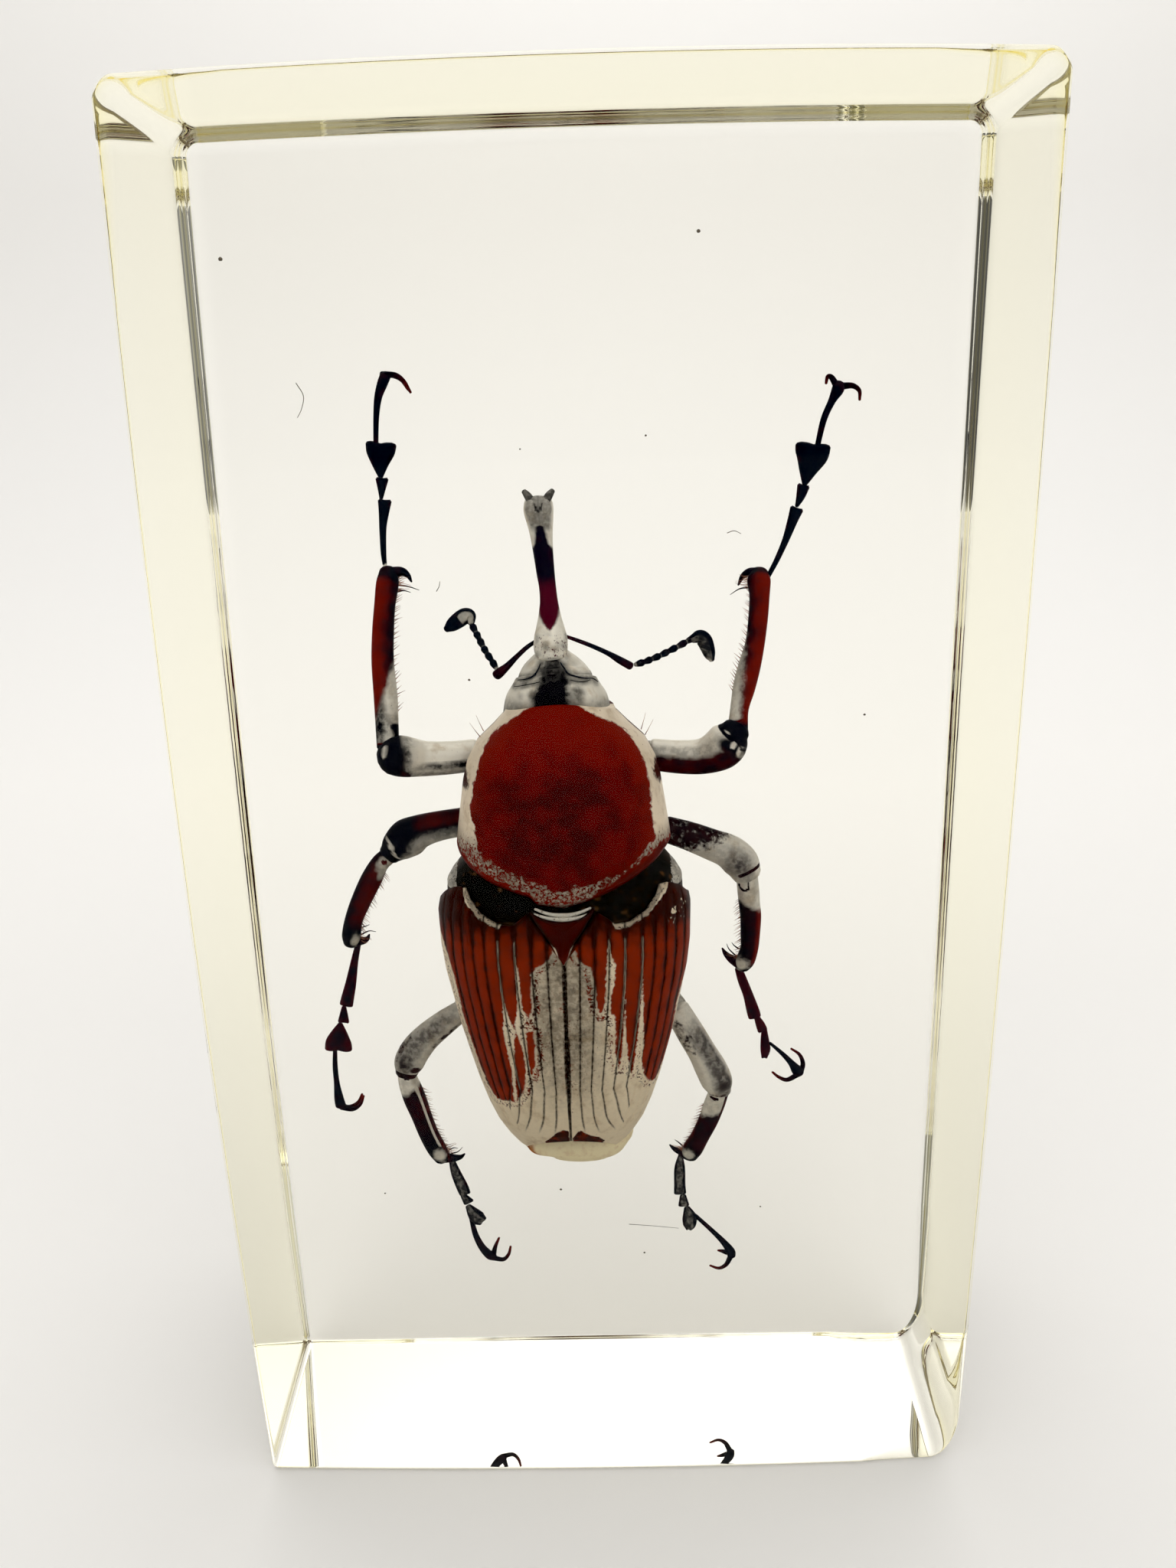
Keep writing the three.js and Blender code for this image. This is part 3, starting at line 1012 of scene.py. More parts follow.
# The folds round the eyes, ridges painted dark for the shade in their creases: x, z and half width.
EYE_RIMS = {
    "left": [
        [
            (-3.78, 45.84, 0.02), (-3.4, 45.93, 0.035), (-3, 46.1, 0.05), (-2.75, 46.35, 0.045),
            (-2.6, 46.65, 0.025),
        ],
        [(-4, 45.5, 0.015), (-3.3, 45.68, 0.025), (-2.63, 45.85, 0.02)],
    ],
    "right": [
        [
            (-1.57, 46.7, 0.025), (-1.35, 46.42, 0.045), (-1.05, 46.16, 0.05), (-0.4, 45.94, 0.035),
            (0.05, 45.85, 0.03), (0.33, 45.62, 0.02),
        ],
        [(-1.07, 45.9, 0.02), (-0.45, 45.76, 0.022), (-0.05, 45.8, 0.015)],
    ],
}
NECK = [
    (-1.85, 0.6, 43.6, 2.85), (-1.85, 0.6, 44.2, 2.8), (-1.85, 0.6, 44.9, 2.62),
    (-1.85, 0.65, 45.5, 2.25), (-1.85, 0.7, 45.75, 2.1),
]
HEAD = [
    (-1.9, 0.8, 45.5, 2), (-1.95, 0.85, 45.9, 1.9), (-1.98, 0.9, 46.3, 1.68), (-2, 0.9, 46.7, 1.32),
    (-2.02, 0.9, 47.1, 0.85), (-2.04, 0.95, 47.45, 0.5),
]
# The eyes' folds and the head's marks are on what lies in front of this y.
HEAD_FRONT = 0.9


def front_at(points, x, z):
    """The y of a shape's front at x, z: the foremost point near there."""
    near = np.hypot(points[:, 0] - x, points[:, 2] - z) < 0.14
    return points[near, 1].min() if near.any() else 0.5


def fold_shade(points, folds):
    """A soft shade beside folds of (x, z, size): 1 along them, gone 0.32 mm away."""
    trail = np.vstack([smooth_rows(fold, 5) for fold in folds])
    x, y, z = points.T
    away = np.hypot(x[:, None] - trail[:, 0], z[:, None] - trail[:, 1]).min(axis=1)
    return rise(0.32, 0.0, away) * (y < HEAD_FRONT)


def head_marks(points):
    """The head's silver, and its painted shade: low on the neck, below the folds, beside the black and
    between the eyes.
    """
    x, y, z = points.T
    film = np.where(y < HEAD_FRONT, -inside(points[:, [0, 2]], HEAD_BLACK), 0.4)
    # Painted shade low on the neck, where it goes under the pronotum.
    low = 0.4 * rise(45.1, 44.3, z)
    veil = 0.6 * np.clip(smooth_noise(points, 0.5, 6.0), 0, 1) * rise(0.9, 0.1, film)
    by_fold = 0.38 * np.max([fold_shade(points, folds) for folds in EYE_RIMS.values()], axis=0)
    beside = 0.45 * rise(1.0, 0.2, np.hypot((x + 0.75) / 0.6, (z - 45.1) / 0.7))
    between = 0.85 * rise(0.55, 0.25, np.abs(x + 1.95)) * rise(45.7, 46.0, z)
    shade = np.maximum(between * (y < HEAD_FRONT), low + veil + by_fold + beside)
    return film, np.clip(shade, 0, 1)


def make_head():
    """The head: silver at the sides, where the eyes are, and black down the middle."""
    neck = sweep(NECK, sides=90, per=10, thick=1.02, caps=(0.3, 0.05))
    head = sweep(HEAD, sides=90, per=10, thick=1.0, caps=(0.2, 0.2))
    for name, shape in (("neck", neck), ("head", head)):
        film, shade = head_marks(shape[0])
        skin_piece(name, shape, "head", film, -0.1, 0.4, shade)
    surface = np.vstack([neck[0], head[0]])
    for name, arcs in EYE_RIMS.items():
        folds = []
        for arc in arcs:
            rows = [(x, front_at(surface, x, z), z, size) for x, z, size in smooth_rows(arc, 2)]
            folds.append(sweep(rows, sides=10, per=3, thick=1.0)[:2])
        # Painted shade: the folds are dark for the shade in their creases.
        skin_piece("eye_rim_" + name, joined(folds), "tarsus", tone=0.0, dark=0.5)


SNOUT = [
    (-2.04, 0.1, 46.65, 0.5), (-2.05, 0.2, 46.9, 0.76), (-2.06, 0.45, 47.35, 0.88),
    (-2.06, 0.8, 47.85, 0.86), (-2.07, 1.1, 48.35, 0.74), (-2.08, 1.2, 48.9, 0.6),
    (-2.1, 1.4, 49.65, 0.47), (-2.15, 1.6, 50.4, 0.44), (-2.23, 1.8, 51.1, 0.47),
    (-2.3, 1.95, 51.9, 0.5), (-2.35, 2.1, 52.5, 0.54), (-2.4, 2.3, 53.15, 0.6),
    (-2.45, 2.5, 53.75, 0.7), (-2.5, 2.65, 54.25, 0.77), (-2.5, 2.75, 54.6, 0.74),
]
# How far to either side of its middle the snout is dark: z and half width.
SNOUT_BLACK = [
    (46, -0.3), (48, -0.2), (48.3, 0.05), (48.6, 0.32), (49, 0.5), (49.5, 0.6), (50.4, 0.6), (51, 0.6),
    (52, 0.6), (52.35, 0.55), (52.6, 0.36), (53.15, 0.28), (53.45, 0.22), (53.55, 0),
]
# The jaws and the lobes beside them, by how far out they are from their middles: out, y, z and half width.
JAW_X, CHEEK_X = -2.48, -2.5
JAW = [
    (0.08, 2.45, 54.2, 0.12), (0.3, 2.4, 54.6, 0.2), (0.52, 2.5, 54.95, 0.21), (0.72, 2.6, 55.2, 0.14),
]
CHEEK = [(0.3, 2.3, 53.9, 0.2), (0.38, 2.2, 54.3, 0.3), (0.36, 2.3, 54.65, 0.22)]


def make_snout():
    """The long beak: dark in the middle of its back, silver at the sides and the ends."""
    points, faces, along, side = sweep(SNOUT, sides=40, per=14, thick=0.85, caps=(0.2, 0.5))
    x, y, z = points.T
    middle, front = (np.interp(z, [s[2] for s in SNOUT], [s[axis] for s in SNOUT]) for axis in (0, 1))
    film = np.where(y < front, np.abs(x - middle + 0.02) - from_table(z, SNOUT_BLACK), 0.1)
    film = np.where((z > 50.4) & (z < 52.3), np.minimum(film, 0.02), film)
    bulb = rise(48.5, 47.8, z)
    grey = 0.4 * rise(53.1, 53.5, z) * rise(0.97, 0.7, np.abs(side))
    grey = grey + bulb * np.clip(0.45 * smooth_noise(points, 0.45, 2.0) + 0.05, 0, 0.5)
    # Painted shade where the snout's swollen base lies over the head.
    grey = grey + 0.45 * rise(46.75, 46.45, z)
    vee = np.abs(np.abs(x - middle) - 0.85 * (z - 54.2))
    grey = grey + 0.5 * rise(0.16, 0.04, vee) * rise(54.1, 54.25, z)
    tone = rise(51.2, 49.8, z)
    skin_piece("snout", (points, faces), "snout", film, tone, 0.0, np.clip(grey, 0, 1), 0.3 * bulb)
    for side, name in ((-1, "left"), (1, "right")):
        jaw = [(JAW_X + side * out, y, z, half) for out, y, z, half in JAW]
        skin_piece("mandible_" + name, sweep(jaw), "snout", 0.05, 0.0, 0.2, 0.62)
        cheek = [(CHEEK_X + side * out, y, z, half) for out, y, z, half in CHEEK]
        skin_piece("cheek_" + name, sweep(cheek), "snout", 0.3, 0.0, 0.0, 0.35)


# ---------------------------------------------------------------- antennae

ANTENNAE = {
    "left": {
        "scape": [
            (-2.7, 0.9, 47.75, 0.1), (-3.3, 1.1, 47.35, 0.12), (-3.9, 1.4, 46.8, 0.14),
            (-4.4, 1.6, 46.3, 0.19), (-4.8, 1.9, 45.95, 0.26), (-5, 2, 45.78, 0.27),
        ],
        "beads": [
            (-5.02, 2, 46.15), (-5.25, 2.2, 46.55), (-5.5, 2.4, 46.9), (-5.68, 2.5, 47.25),
            (-5.88, 2.7, 47.65), (-6.05, 2.8, 48), (-6.25, 2.95, 48.4),
        ],
        "club": [
            (-6.3, 3, 48.55, 0.24), (-6.35, 3, 48.85, 0.36), (-6.6, 3, 48.85, 0.43),
            (-7, 3, 48.6, 0.42), (-7.35, 3, 48.35, 0.34), (-7.6, 3, 48.18, 0.18),
        ],
    },
    "right": {
        "scape": [
            (-1.3, 0.9, 47.9, 0.09), (-0.6, 1.1, 47.6, 0.11), (0.1, 1.3, 47.28, 0.12),
            (0.9, 1.6, 46.85, 0.14), (1.5, 1.8, 46.45, 0.2), (2.05, 2, 46.1, 0.22),
        ],
        "beads": [
            (2.35, 2, 46.17), (2.8, 2.1, 46.28), (3.2, 2.3, 46.4), (3.65, 2.5, 46.55),
            (4.1, 2.7, 46.75), (4.55, 2.8, 46.95), (5.05, 2.95, 47.2),
        ],
        "club": [
            (5.4, 3, 47.35, 0.24), (5.75, 3, 47.45, 0.38), (6, 3, 47.25, 0.42), (6.17, 3, 46.85, 0.38),
            (6.3, 3, 46.45, 0.3), (6.4, 3, 46.2, 0.16),
        ],
    },
}
# One bead of an antenna: its share of the way to the next one, and half width.
BEAD = [(-0.12, 0.11), (0.3, 0.17), (0.7, 0.2), (0.95, 0.15)]


def make_antenna(name, antenna):
    """An elbowed antenna: the long scape, a string of beads and the club."""
    skin_piece("scape_" + name, sweep(antenna["scape"], thick=0.9), "tarsus", tone=0.25)
    beads = np.array(antenna["beads"])
    parts, film = [], []
    for count, (here, there) in enumerate(zip(beads, np.vstack([beads[1:], 2 * beads[-1] - beads[-2]]))):
        stations = [(*(here + (there - here) * share), half) for share, half in BEAD]
        points, faces, along, side = sweep(stations, sides=14, per=4, caps=(0.5, 0.5))
        parts.append((points, faces))
        film.append(0.12 * rise(0.25, 0.0, along) - 0.06 - 0.1 * (count % 3 == 1))
    skin_piece("funicle_" + name, joined(parts), "tarsus", np.concatenate(film), 0.0, 0.0, 0.4)
    points, faces, along, side = sweep(antenna["club"], sides=20, thick=0.7)
    if name == "left":
        film = np.minimum(rise(0.62, 0.45, along) - 0.5, 0.55 - np.abs(side)) * 0.4
        grey = 0.3
    else:
        film = rise(-0.7, 0.2, side) * 0.35 - 0.12
        grey = 0.78 - 0.6 * rise(0.75, 1.0, along) * rise(-0.4, 0.4, side)
    skin_piece("club_" + name, (points, faces), "tarsus", film, 0.0, 0.0, grey)


# ---------------------------------------------------------------- legs

# Stations run from the body outward: x, y, z and half width. Claws, hooks and spines are bare points that
# taper. fringe_side is the edge that the bristles are on. PLAIN_LEG says what the other settings mean.
FORE_LEFT = {
    "fringe_side": 1,
    "pale_base": True,
    "coxa": [(-3.7, 4.7, 40.4, 1.25), (-5, 4, 40.9, 0.9), (-6.4, 2.9, 41.2, 0.72)],
    "femur": [
        (-6.4, 2.6, 41.3, 0.88), (-7.75, 2.5, 41.2, 0.92), (-9.05, 2.4, 41.2, 0.98),
        (-9.9, 2.2, 41.33, 1.11), (-10.35, 2.1, 41.42, 1.15), (-10.65, 2.05, 41.47, 1.13),
    ],
    "knee": 0.92,
    "spots": [(-11.22, 41.78, 0.24, 0.36)],
    "tibia": [
        (-11.05, 2.1, 41.95, 0.6), (-11.05, 2.4, 42.95, 0.62), (-11.05, 2.8, 44.7, 0.64),
        (-11.1, 3.1, 46.55, 0.6), (-11, 3.5, 48.15, 0.58), (-10.85, 3.8, 49.45, 0.56),
        (-10.68, 4.2, 50.5, 0.6), (-10.6, 4.5, 51.1, 0.5),
    ],
    "tarsus": [
        [
            (-10.75, 4.5, 51.3, 0.1), (-10.8, 4.6, 52.1, 0.15), (-10.75, 4.7, 53.4, 0.19),
            (-10.65, 4.8, 54.2, 0.27), (-10.57, 4.9, 54.8, 0.36),
        ],
        [(-10.75, 5, 54.95, 0.1), (-10.7, 5.1, 55.45, 0.22), (-10.66, 5.2, 55.9, 0.34)],
        [
            (-10.72, 5.2, 56, 0.12), (-10.7, 5.2, 56.6, 0.42), (-10.65, 5.3, 57.2, 0.72),
            (-10.6, 5.4, 57.65, 0.8),
        ],
    ],
    "onychium": [
        (-10.85, 5.2, 57.6, 0.13), (-10.75, 5.4, 58.95, 0.15), (-10.6, 5.6, 59.95, 0.2),
        (-10.35, 5.8, 60.65, 0.27), (-10.2, 6, 61, 0.28),
    ],
    "claws": [
        [(-10.2, 6, 61.1), (-9.65, 6, 61.05), (-9.25, 6, 60.75), (-8.95, 6, 60.2)],
        [(-10.35, 6.1, 61.1), (-9.95, 6.4, 61.1), (-9.45, 6.6, 60.85), (-9.15, 6.9, 60.35)],
    ],
    "hook": [(-10.6, 4.4, 51.05), (-9.95, 4.5, 51.15), (-9.6, 4.5, 50.95), (-9.42, 4.5, 50.6)],
    "spines": [
        [(-10.15, 4.5, 50.45), (-9.6, 4.5, 50.35), (-9.05, 4.5, 50.15)],
        [(-10.2, 4.4, 50.1), (-9.85, 4.4, 50.15), (-9.5, 4.4, 50.05)],
    ],
}
FORE_RIGHT = {
    "fringe_side": -1,
    "coxa": [(0.4, 4.7, 40.4, 1.25), (1.7, 4, 40.9, 0.9), (3.2, 2.9, 41.1, 0.72)],
    "femur": [
        (3.2, 2.6, 41.1, 0.88), (4.65, 2.5, 40.95, 0.93), (5.9, 2.4, 40.98, 1), (6.85, 2.2, 41.4, 1.18),
        (7.3, 2.1, 41.95, 1.12), (7.6, 2, 42.4, 0.8),
    ],
    "tibia": [
        (7.75, 2.1, 42.45, 0.55), (7.85, 2.4, 43.55, 0.5), (8.1, 2.7, 44.65, 0.6), (8.4, 3, 45.8, 0.6),
        (8.7, 3.3, 47, 0.52), (8.87, 3.6, 48.3, 0.52), (8.95, 3.9, 49.5, 0.54), (8.93, 4.2, 50.2, 0.62),
        (8.95, 4.5, 50.55, 0.5),
    ],
    "tarsus": [
        [
            (9.45, 4.5, 50.45, 0.13), (9.9, 4.6, 51.3, 0.15), (10.35, 4.8, 52.3, 0.19),
            (10.7, 4.9, 53.3, 0.28), (10.9, 5, 53.85, 0.36),
        ],
        [(10.9, 5, 54, 0.1), (11.1, 5.1, 54.5, 0.24), (11.24, 5.2, 55, 0.33)],
        [
            (11.3, 5.2, 55.1, 0.14), (11.47, 5.2, 55.85, 0.52), (11.64, 5.3, 56.5, 0.84),
            (11.7, 5.4, 57, 0.92),
        ],
    ],
    "onychium": [
        (11.88, 5.2, 56.9, 0.14), (12.2, 5.4, 58.3, 0.17), (12.6, 5.6, 59.2, 0.2),
        (12.9, 5.8, 59.75, 0.32), (13, 6, 60, 0.3),
    ],
    "claws": [
        [(12.85, 6, 60), (12.6, 6, 60.38), (12.4, 6, 60.42), (12.33, 6, 60.1)],
        [(13.2, 6, 59.95), (13.7, 6.1, 59.95), (14.05, 6.1, 59.7), (14.1, 6.2, 59.25)],
    ],
    "spots": [(7.45, 41.75, 0.2, 0.24), (7.75, 41.35, 0.12, 0.3)],
    "hook": [(9, 4.4, 50.5), (8.5, 4.5, 50.65), (8.1, 4.5, 50.45), (7.87, 4.5, 50)],
    "spines": [[(8.45, 4.5, 49.85), (7.95, 4.5, 49.8), (7.45, 4.5, 49.5)]],
}
MIDDLE_LEFT = {
    "fringe_side": -1,
    "wine": 0.3,
    "coxa": [(-4.2, 5.3, 35.6, 1.3), (-5.7, 4.5, 36.4, 0.9), (-7.2, 3.4, 37.3, 0.7)],
    "femur": [
        (-7.2, 3, 37.42, 0.82), (-8.55, 3.1, 37.2, 0.85), (-9.65, 3.2, 36.9, 0.95),
        (-10.4, 3.3, 36.5, 1.12), (-11.05, 3.4, 36, 0.95), (-11.5, 3.5, 35.55, 0.65),
    ],
    "tibia": [
        (-11.65, 3.5, 35.4, 0.5), (-12.2, 3.8, 34.85, 0.52), (-12.8, 4.2, 33.8, 0.6),
        (-13.5, 4.5, 32.45, 0.57), (-14.03, 4.8, 31.25, 0.52), (-14.3, 5.2, 30.2, 0.55),
        (-14.4, 5.5, 29.65, 0.45),
    ],
    "tarsus": [
        [
            (-14, 5.5, 29.5, 0.17), (-14.3, 5.6, 28.4, 0.22), (-14.65, 5.8, 26.95, 0.32),
            (-14.93, 5.9, 25.95, 0.38), (-15.05, 6, 25.5, 0.4),
        ],
        [(-15.2, 6, 25.35, 0.14), (-15.25, 6, 24.85, 0.25), (-15.3, 6, 24.4, 0.34)],
        [
            (-15.5, 6, 24.25, 0.16), (-15.6, 6, 23.7, 0.48), (-15.7, 6, 23.1, 0.76),
            (-15.74, 6, 22.6, 0.82),
        ],
    ],
    "onychium": [
        (-15.95, 6, 22.6, 0.13), (-16.05, 6.1, 21.35, 0.16), (-16.05, 6.2, 20.25, 0.18),
        (-16, 6.2, 19.25, 0.29), (-15.95, 6.3, 18.7, 0.33),
    ],
    "claws": [
        [(-15.9, 6.3, 18.55), (-15.25, 6.3, 18.4), (-14.75, 6.3, 18.72), (-14.5, 6.3, 19.3)],
        [(-15.9, 6.3, 18.65), (-15.45, 6.6, 18.45), (-14.95, 6.9, 18.65), (-14.7, 7.2, 19.1)],
    ],
    "hook": [(-14.2, 5.4, 29.8), (-13.75, 5.5, 29.72), (-13.45, 5.5, 29.85), (-13.3, 5.5, 30.1)],
    "spines": [
        [(-13.9, 5.5, 30.5), (-13.5, 5.5, 30.62), (-13.25, 5.5, 30.72)],
        [(-13.8, 5.5, 30.1), (-13.3, 5.4, 30.35), (-12.9, 5.4, 30.3)],
    ],
}
MIDDLE_RIGHT = {
    "fringe_side": 1,
    "femur_look": "mottled_limb",
    "wine": 0.4,
    "notch": 0.1,
    "coxa": [(0.8, 5.3, 35.4, 1.3), (2.4, 4.5, 36, 0.9), (3.9, 3.4, 36.7, 0.7)],
    "femur": [
        (3.9, 3, 36.72, 0.75), (5.2, 3.1, 36.25, 0.83), (6.45, 3.2, 35.7, 0.9), (7.4, 3.3, 35.25, 0.98),
        (8.05, 3.4, 34.6, 1.02), (8.4, 3.5, 33.95, 0.85),
    ],
    "tibia": [
        (8.45, 3.5, 33.75, 0.6), (8.55, 3.8, 32.75, 0.62), (8.65, 4.1, 31.85, 0.6),
        (8.75, 4.4, 31, 0.6), (8.75, 4.6, 29.85, 0.56), (8.73, 4.9, 28.9, 0.52),
        (8.55, 5.2, 28.1, 0.55), (8.38, 5.5, 27.65, 0.48),
    ],
    "tarsus": [
        [
            (8.15, 5.5, 27.45, 0.22), (8.4, 5.6, 26.65, 0.28), (8.75, 5.8, 25.65, 0.3),
            (9.05, 5.9, 24.6, 0.38), (9.17, 6, 24.15, 0.38),
        ],
        [(9.3, 6, 24.1, 0.18), (9.5, 6, 23.65, 0.27), (9.65, 6, 23.25, 0.3)],
        [
            (9.75, 6, 23.2, 0.18), (9.8, 6.1, 22.55, 0.26), (9.85, 6.2, 21.9, 0.3),
            (9.8, 6.3, 21.3, 0.17),
        ],
    ],
    "onychium": [
        (10.1, 6, 22.4, 0.09), (10.85, 6.1, 21.65, 0.14), (11.4, 6.2, 21, 0.2),
        (11.75, 6.2, 20.5, 0.33), (11.93, 6.3, 20.25, 0.28),
    ],
    "claws": [
        [(11.8, 6.3, 20.15), (11.2, 6.3, 19.82), (10.7, 6.3, 20), (10.3, 6.3, 20.35)],
        [(12, 6.3, 20.35), (12.12, 6.3, 20.9), (11.9, 6.3, 21.5), (11.4, 6.3, 21.9)],
    ],
    "hook": [(8.2, 5.4, 27.8), (7.75, 5.5, 28.05), (7.4, 5.5, 28.4), (7.2, 5.5, 28.75)],
    "spines": [
        [(8.15, 5.5, 28.7), (7.9, 5.5, 28.9), (7.75, 5.5, 29.1)],
        [(8.05, 5.5, 28.2), (7.6, 5.4, 28.7), (7.45, 5.4, 29.05)],
    ],
}
HIND_LEFT = {
    "fringe_side": -1,
    "femur_look": "mottled_limb",
    "slate": 0.74,
    "notch": 0.1,
    "coxa": [(-4.6, 5.3, 28.2, 1.3), (-6.2, 4.7, 27.3, 0.9), (-7.9, 3.9, 25.9, 0.65)],
    "femur": [
        (-7.9, 3.5, 25.85, 0.62), (-9.1, 3.6, 24.95, 0.76), (-10.2, 3.7, 24, 0.84),
        (-10.9, 3.8, 23.15, 0.9), (-11.35, 3.9, 22.3, 0.88), (-11.55, 4, 21.65, 0.66),
    ],
    "tibia": [
        (-11.6, 4, 21.6, 0.5), (-11.45, 4.2, 20.8, 0.63), (-11.2, 4.4, 19.7, 0.68),
        (-10.9, 4.6, 18.5, 0.62), (-10.55, 4.9, 17.1, 0.6), (-10.15, 5.1, 16, 0.6),
        (-9.87, 5.3, 15.3, 0.5),
    ],
    "tarsus": [
        [
            (-9.3, 5.5, 14.95, 0.2), (-9.1, 5.6, 14.05, 0.32), (-8.8, 5.7, 13.1, 0.38),
            (-8.65, 5.8, 12.55, 0.36),
        ],
        [(-8.75, 5.8, 12.4, 0.2), (-8.47, 6, 11.85, 0.34)],
        [(-8.5, 6, 11.55, 0.2), (-8.2, 6, 11.05, 0.42), (-7.95, 6, 10.7, 0.5), (-7.65, 6, 10.45, 0.35)],
    ],
    "onychium": [
        (-8.35, 6, 10.6, 0.14), (-8.15, 6.1, 9.45, 0.19), (-7.8, 6.2, 8.5, 0.24),
        (-7.35, 6.2, 7.9, 0.3), (-7.1, 6.3, 7.68, 0.25),
    ],
    "claws": [
        [(-7.05, 6.3, 7.62), (-6.5, 6.3, 7.52), (-6.15, 6.3, 7.88), (-6, 6.3, 8.45)],
        [(-7.1, 6.3, 7.95), (-6.95, 6.3, 8.5), (-6.7, 6.3, 9.1)],
    ],
    "hook": [(-9.7, 5.4, 15.25), (-9.15, 5.5, 15.18), (-8.75, 5.5, 15.25), (-8.5, 5.5, 15.45)],
    "spines": [
        [(-9.45, 5.5, 15.75), (-9.15, 5.5, 15.88), (-8.9, 5.5, 15.85)],
        [(-9.3, 5.5, 15.5), (-8.9, 5.4, 15.65), (-8.6, 5.4, 15.95)],
    ],
}
HIND_RIGHT = {
    "fringe_side": 1,
    "femur_look": "mottled_limb",
    "slate": 0.72,
    "notch": 0.1,
    "coxa": [(1.2, 5.3, 28.2, 1.3), (2.8, 4.7, 27.2, 0.9), (4.4, 3.9, 25.6, 0.7)],
    "femur": [
        (4.45, 3.5, 25.55, 0.75), (5.25, 3.6, 24, 0.83), (5.93, 3.7, 22.7, 0.85),
        (6.45, 3.8, 21.6, 0.94), (6.83, 3.9, 20.65, 0.92), (7, 4, 20, 0.68),
    ],
    "tibia": [
        (6.92, 4, 19.85, 0.6), (6.7, 4.3, 19, 0.63), (6.35, 4.6, 17.8, 0.6), (5.85, 4.9, 16.55, 0.57),
        (5.45, 5.2, 15.65, 0.62), (5.28, 5.5, 15.1, 0.52),
    ],
    "tarsus": [
        [
            (4.7, 5.5, 15.05, 0.15), (4.65, 5.6, 14.15, 0.33), (4.65, 5.7, 12.95, 0.35),
            (4.67, 5.8, 12.3, 0.38),
        ],
        [(4.85, 5.8, 12.1, 0.2), (4.9, 6, 11.35, 0.34)],
        [(5.1, 6, 11.15, 0.2), (5.25, 6, 10.5, 0.44), (5.25, 6, 9.9, 0.4), (5.2, 6, 9.55, 0.17)],
    ],
    "onychium": [
        (5.6, 6, 10.6, 0.13), (6.6, 6.1, 9.5, 0.15), (7.35, 6.2, 8.6, 0.2), (7.82, 6.2, 7.9, 0.28),
        (7.9, 6.3, 7.5, 0.26),
    ],
    "claws": [
        [(7.8, 6.3, 7.35), (7.55, 6.3, 6.85), (7.1, 6.3, 6.6), (6.55, 6.3, 6.8)],
        [(7.6, 6.3, 7.75), (7.3, 6.3, 7.85), (7.05, 6.3, 7.9)],
    ],
    "hook": [(5.1, 5.4, 15.15), (4.75, 5.5, 15.3), (4.35, 5.5, 15.5), (4.05, 5.5, 15.8)],
    "spines": [[(4.85, 5.5, 15.7), (4.55, 5.5, 16), (4.35, 5.5, 16.15)]],
}
LEGS = {
    "fore_left": FORE_LEFT,
    "fore_right": FORE_RIGHT,
    "middle_left": MIDDLE_LEFT,
    "middle_right": MIDDLE_RIGHT,
    "hind_left": HIND_LEFT,
    "hind_right": HIND_RIGHT,
}


def taper(points, start, end):
    """Stations for a point that thins from `start` to `end` along bare x, y, z points."""
    return [(*point, size) for point, size in zip(points, np.linspace(start, end, len(points)))]


def hair(root, way, length, width, bend=0.0):
    """A bristle: a thin cone of rings from `root` along `way`."""
    step = unit(way) * length
    stations = []
    for share in (0, 0.35, 0.7, 1):
        place = np.asarray(root) + step * share + np.array([0, 0, bend]) * share * share
        stations.append((*place, width * (1.05 - share)))
    return sweep(stations, sides=6, per=2, thick=1.0, caps=(0.2, 0.4))[:2]


def fringe(stations, side, share_from, share_to, count, length, width=0.034, lean=0.7, seed=1):
    """A row of bristles along one edge of a limb, leaning toward its far end."""
    random = np.random.default_rng(seed)
    rows = smooth_rows(stations, 10)
    tangent = unit(np.gradient(rows[:, :3], axis=0))
    across = unit(np.cross(tangent, VIEW)) * side
    hairs = []
    for share in np.linspace(share_from, share_to, count):
        i = int(share * (len(rows) - 1))
        root = rows[i, :3] + across[i] * rows[i, 3] * 0.8
        leaning = tangent[i] * (lean + random.uniform(-0.3, 0.3))
        way = across[i] + leaning + np.array([0, random.uniform(-0.3, 0.3), 0])
        hairs.append(hair(root, way, length * random.uniform(0.6, 1.2), width))
    return joined(hairs)


def lobed(stations, notch, **settings):
    """A tarsal joint whose far end is cut in by `notch` between two lobes."""
    points, faces, along, side = sweep(stations, **settings)
    end = np.array(stations[-1][:3])
    way = unit(end - np.array(stations[0][:3]))
    across = unit(np.cross(way, VIEW))
    place = np.clip(np.abs((points - end) @ across) / stations[-1][3], 0, 1)
    points = points - way * (notch * rise(0.45, 1.0, along) * (1 - place) ** 1.2)[:, None]
    return points, faces, along, side


def tarsal_teeth(joints):
    """The small points at the far corners of the tarsal joints."""
    teeth = []
    for joint in joints[:2]:
        end = np.array(joint[-1][:3])
        way = unit(end - np.array(joint[-2][:3]))
        for across in (-unit(np.cross(way, VIEW)), unit(np.cross(way, VIEW))):
            root = end + across * joint[-1][3] * 0.55
            tip = root + way * 0.1 + across * 0.08
            teeth.append(sweep(taper([root, (root + tip) / 2, tip], 0.13, 0.02), sides=10, per=4)[:2])
    return teeth


def blob(t, s, at, to, long, wide):
    """1 in the middle of an oval patch, 0 at its edge and below 0 outside it."""
    return 1 - np.sqrt(((t - at) / long) ** 2 + ((s - to) / wide) ** 2)


# The skins below give, for shares t along a limb and places s across it, how deep into the silver it is in
# millimetres, the skin's tone, how dark it is and how far the silver is shaded.


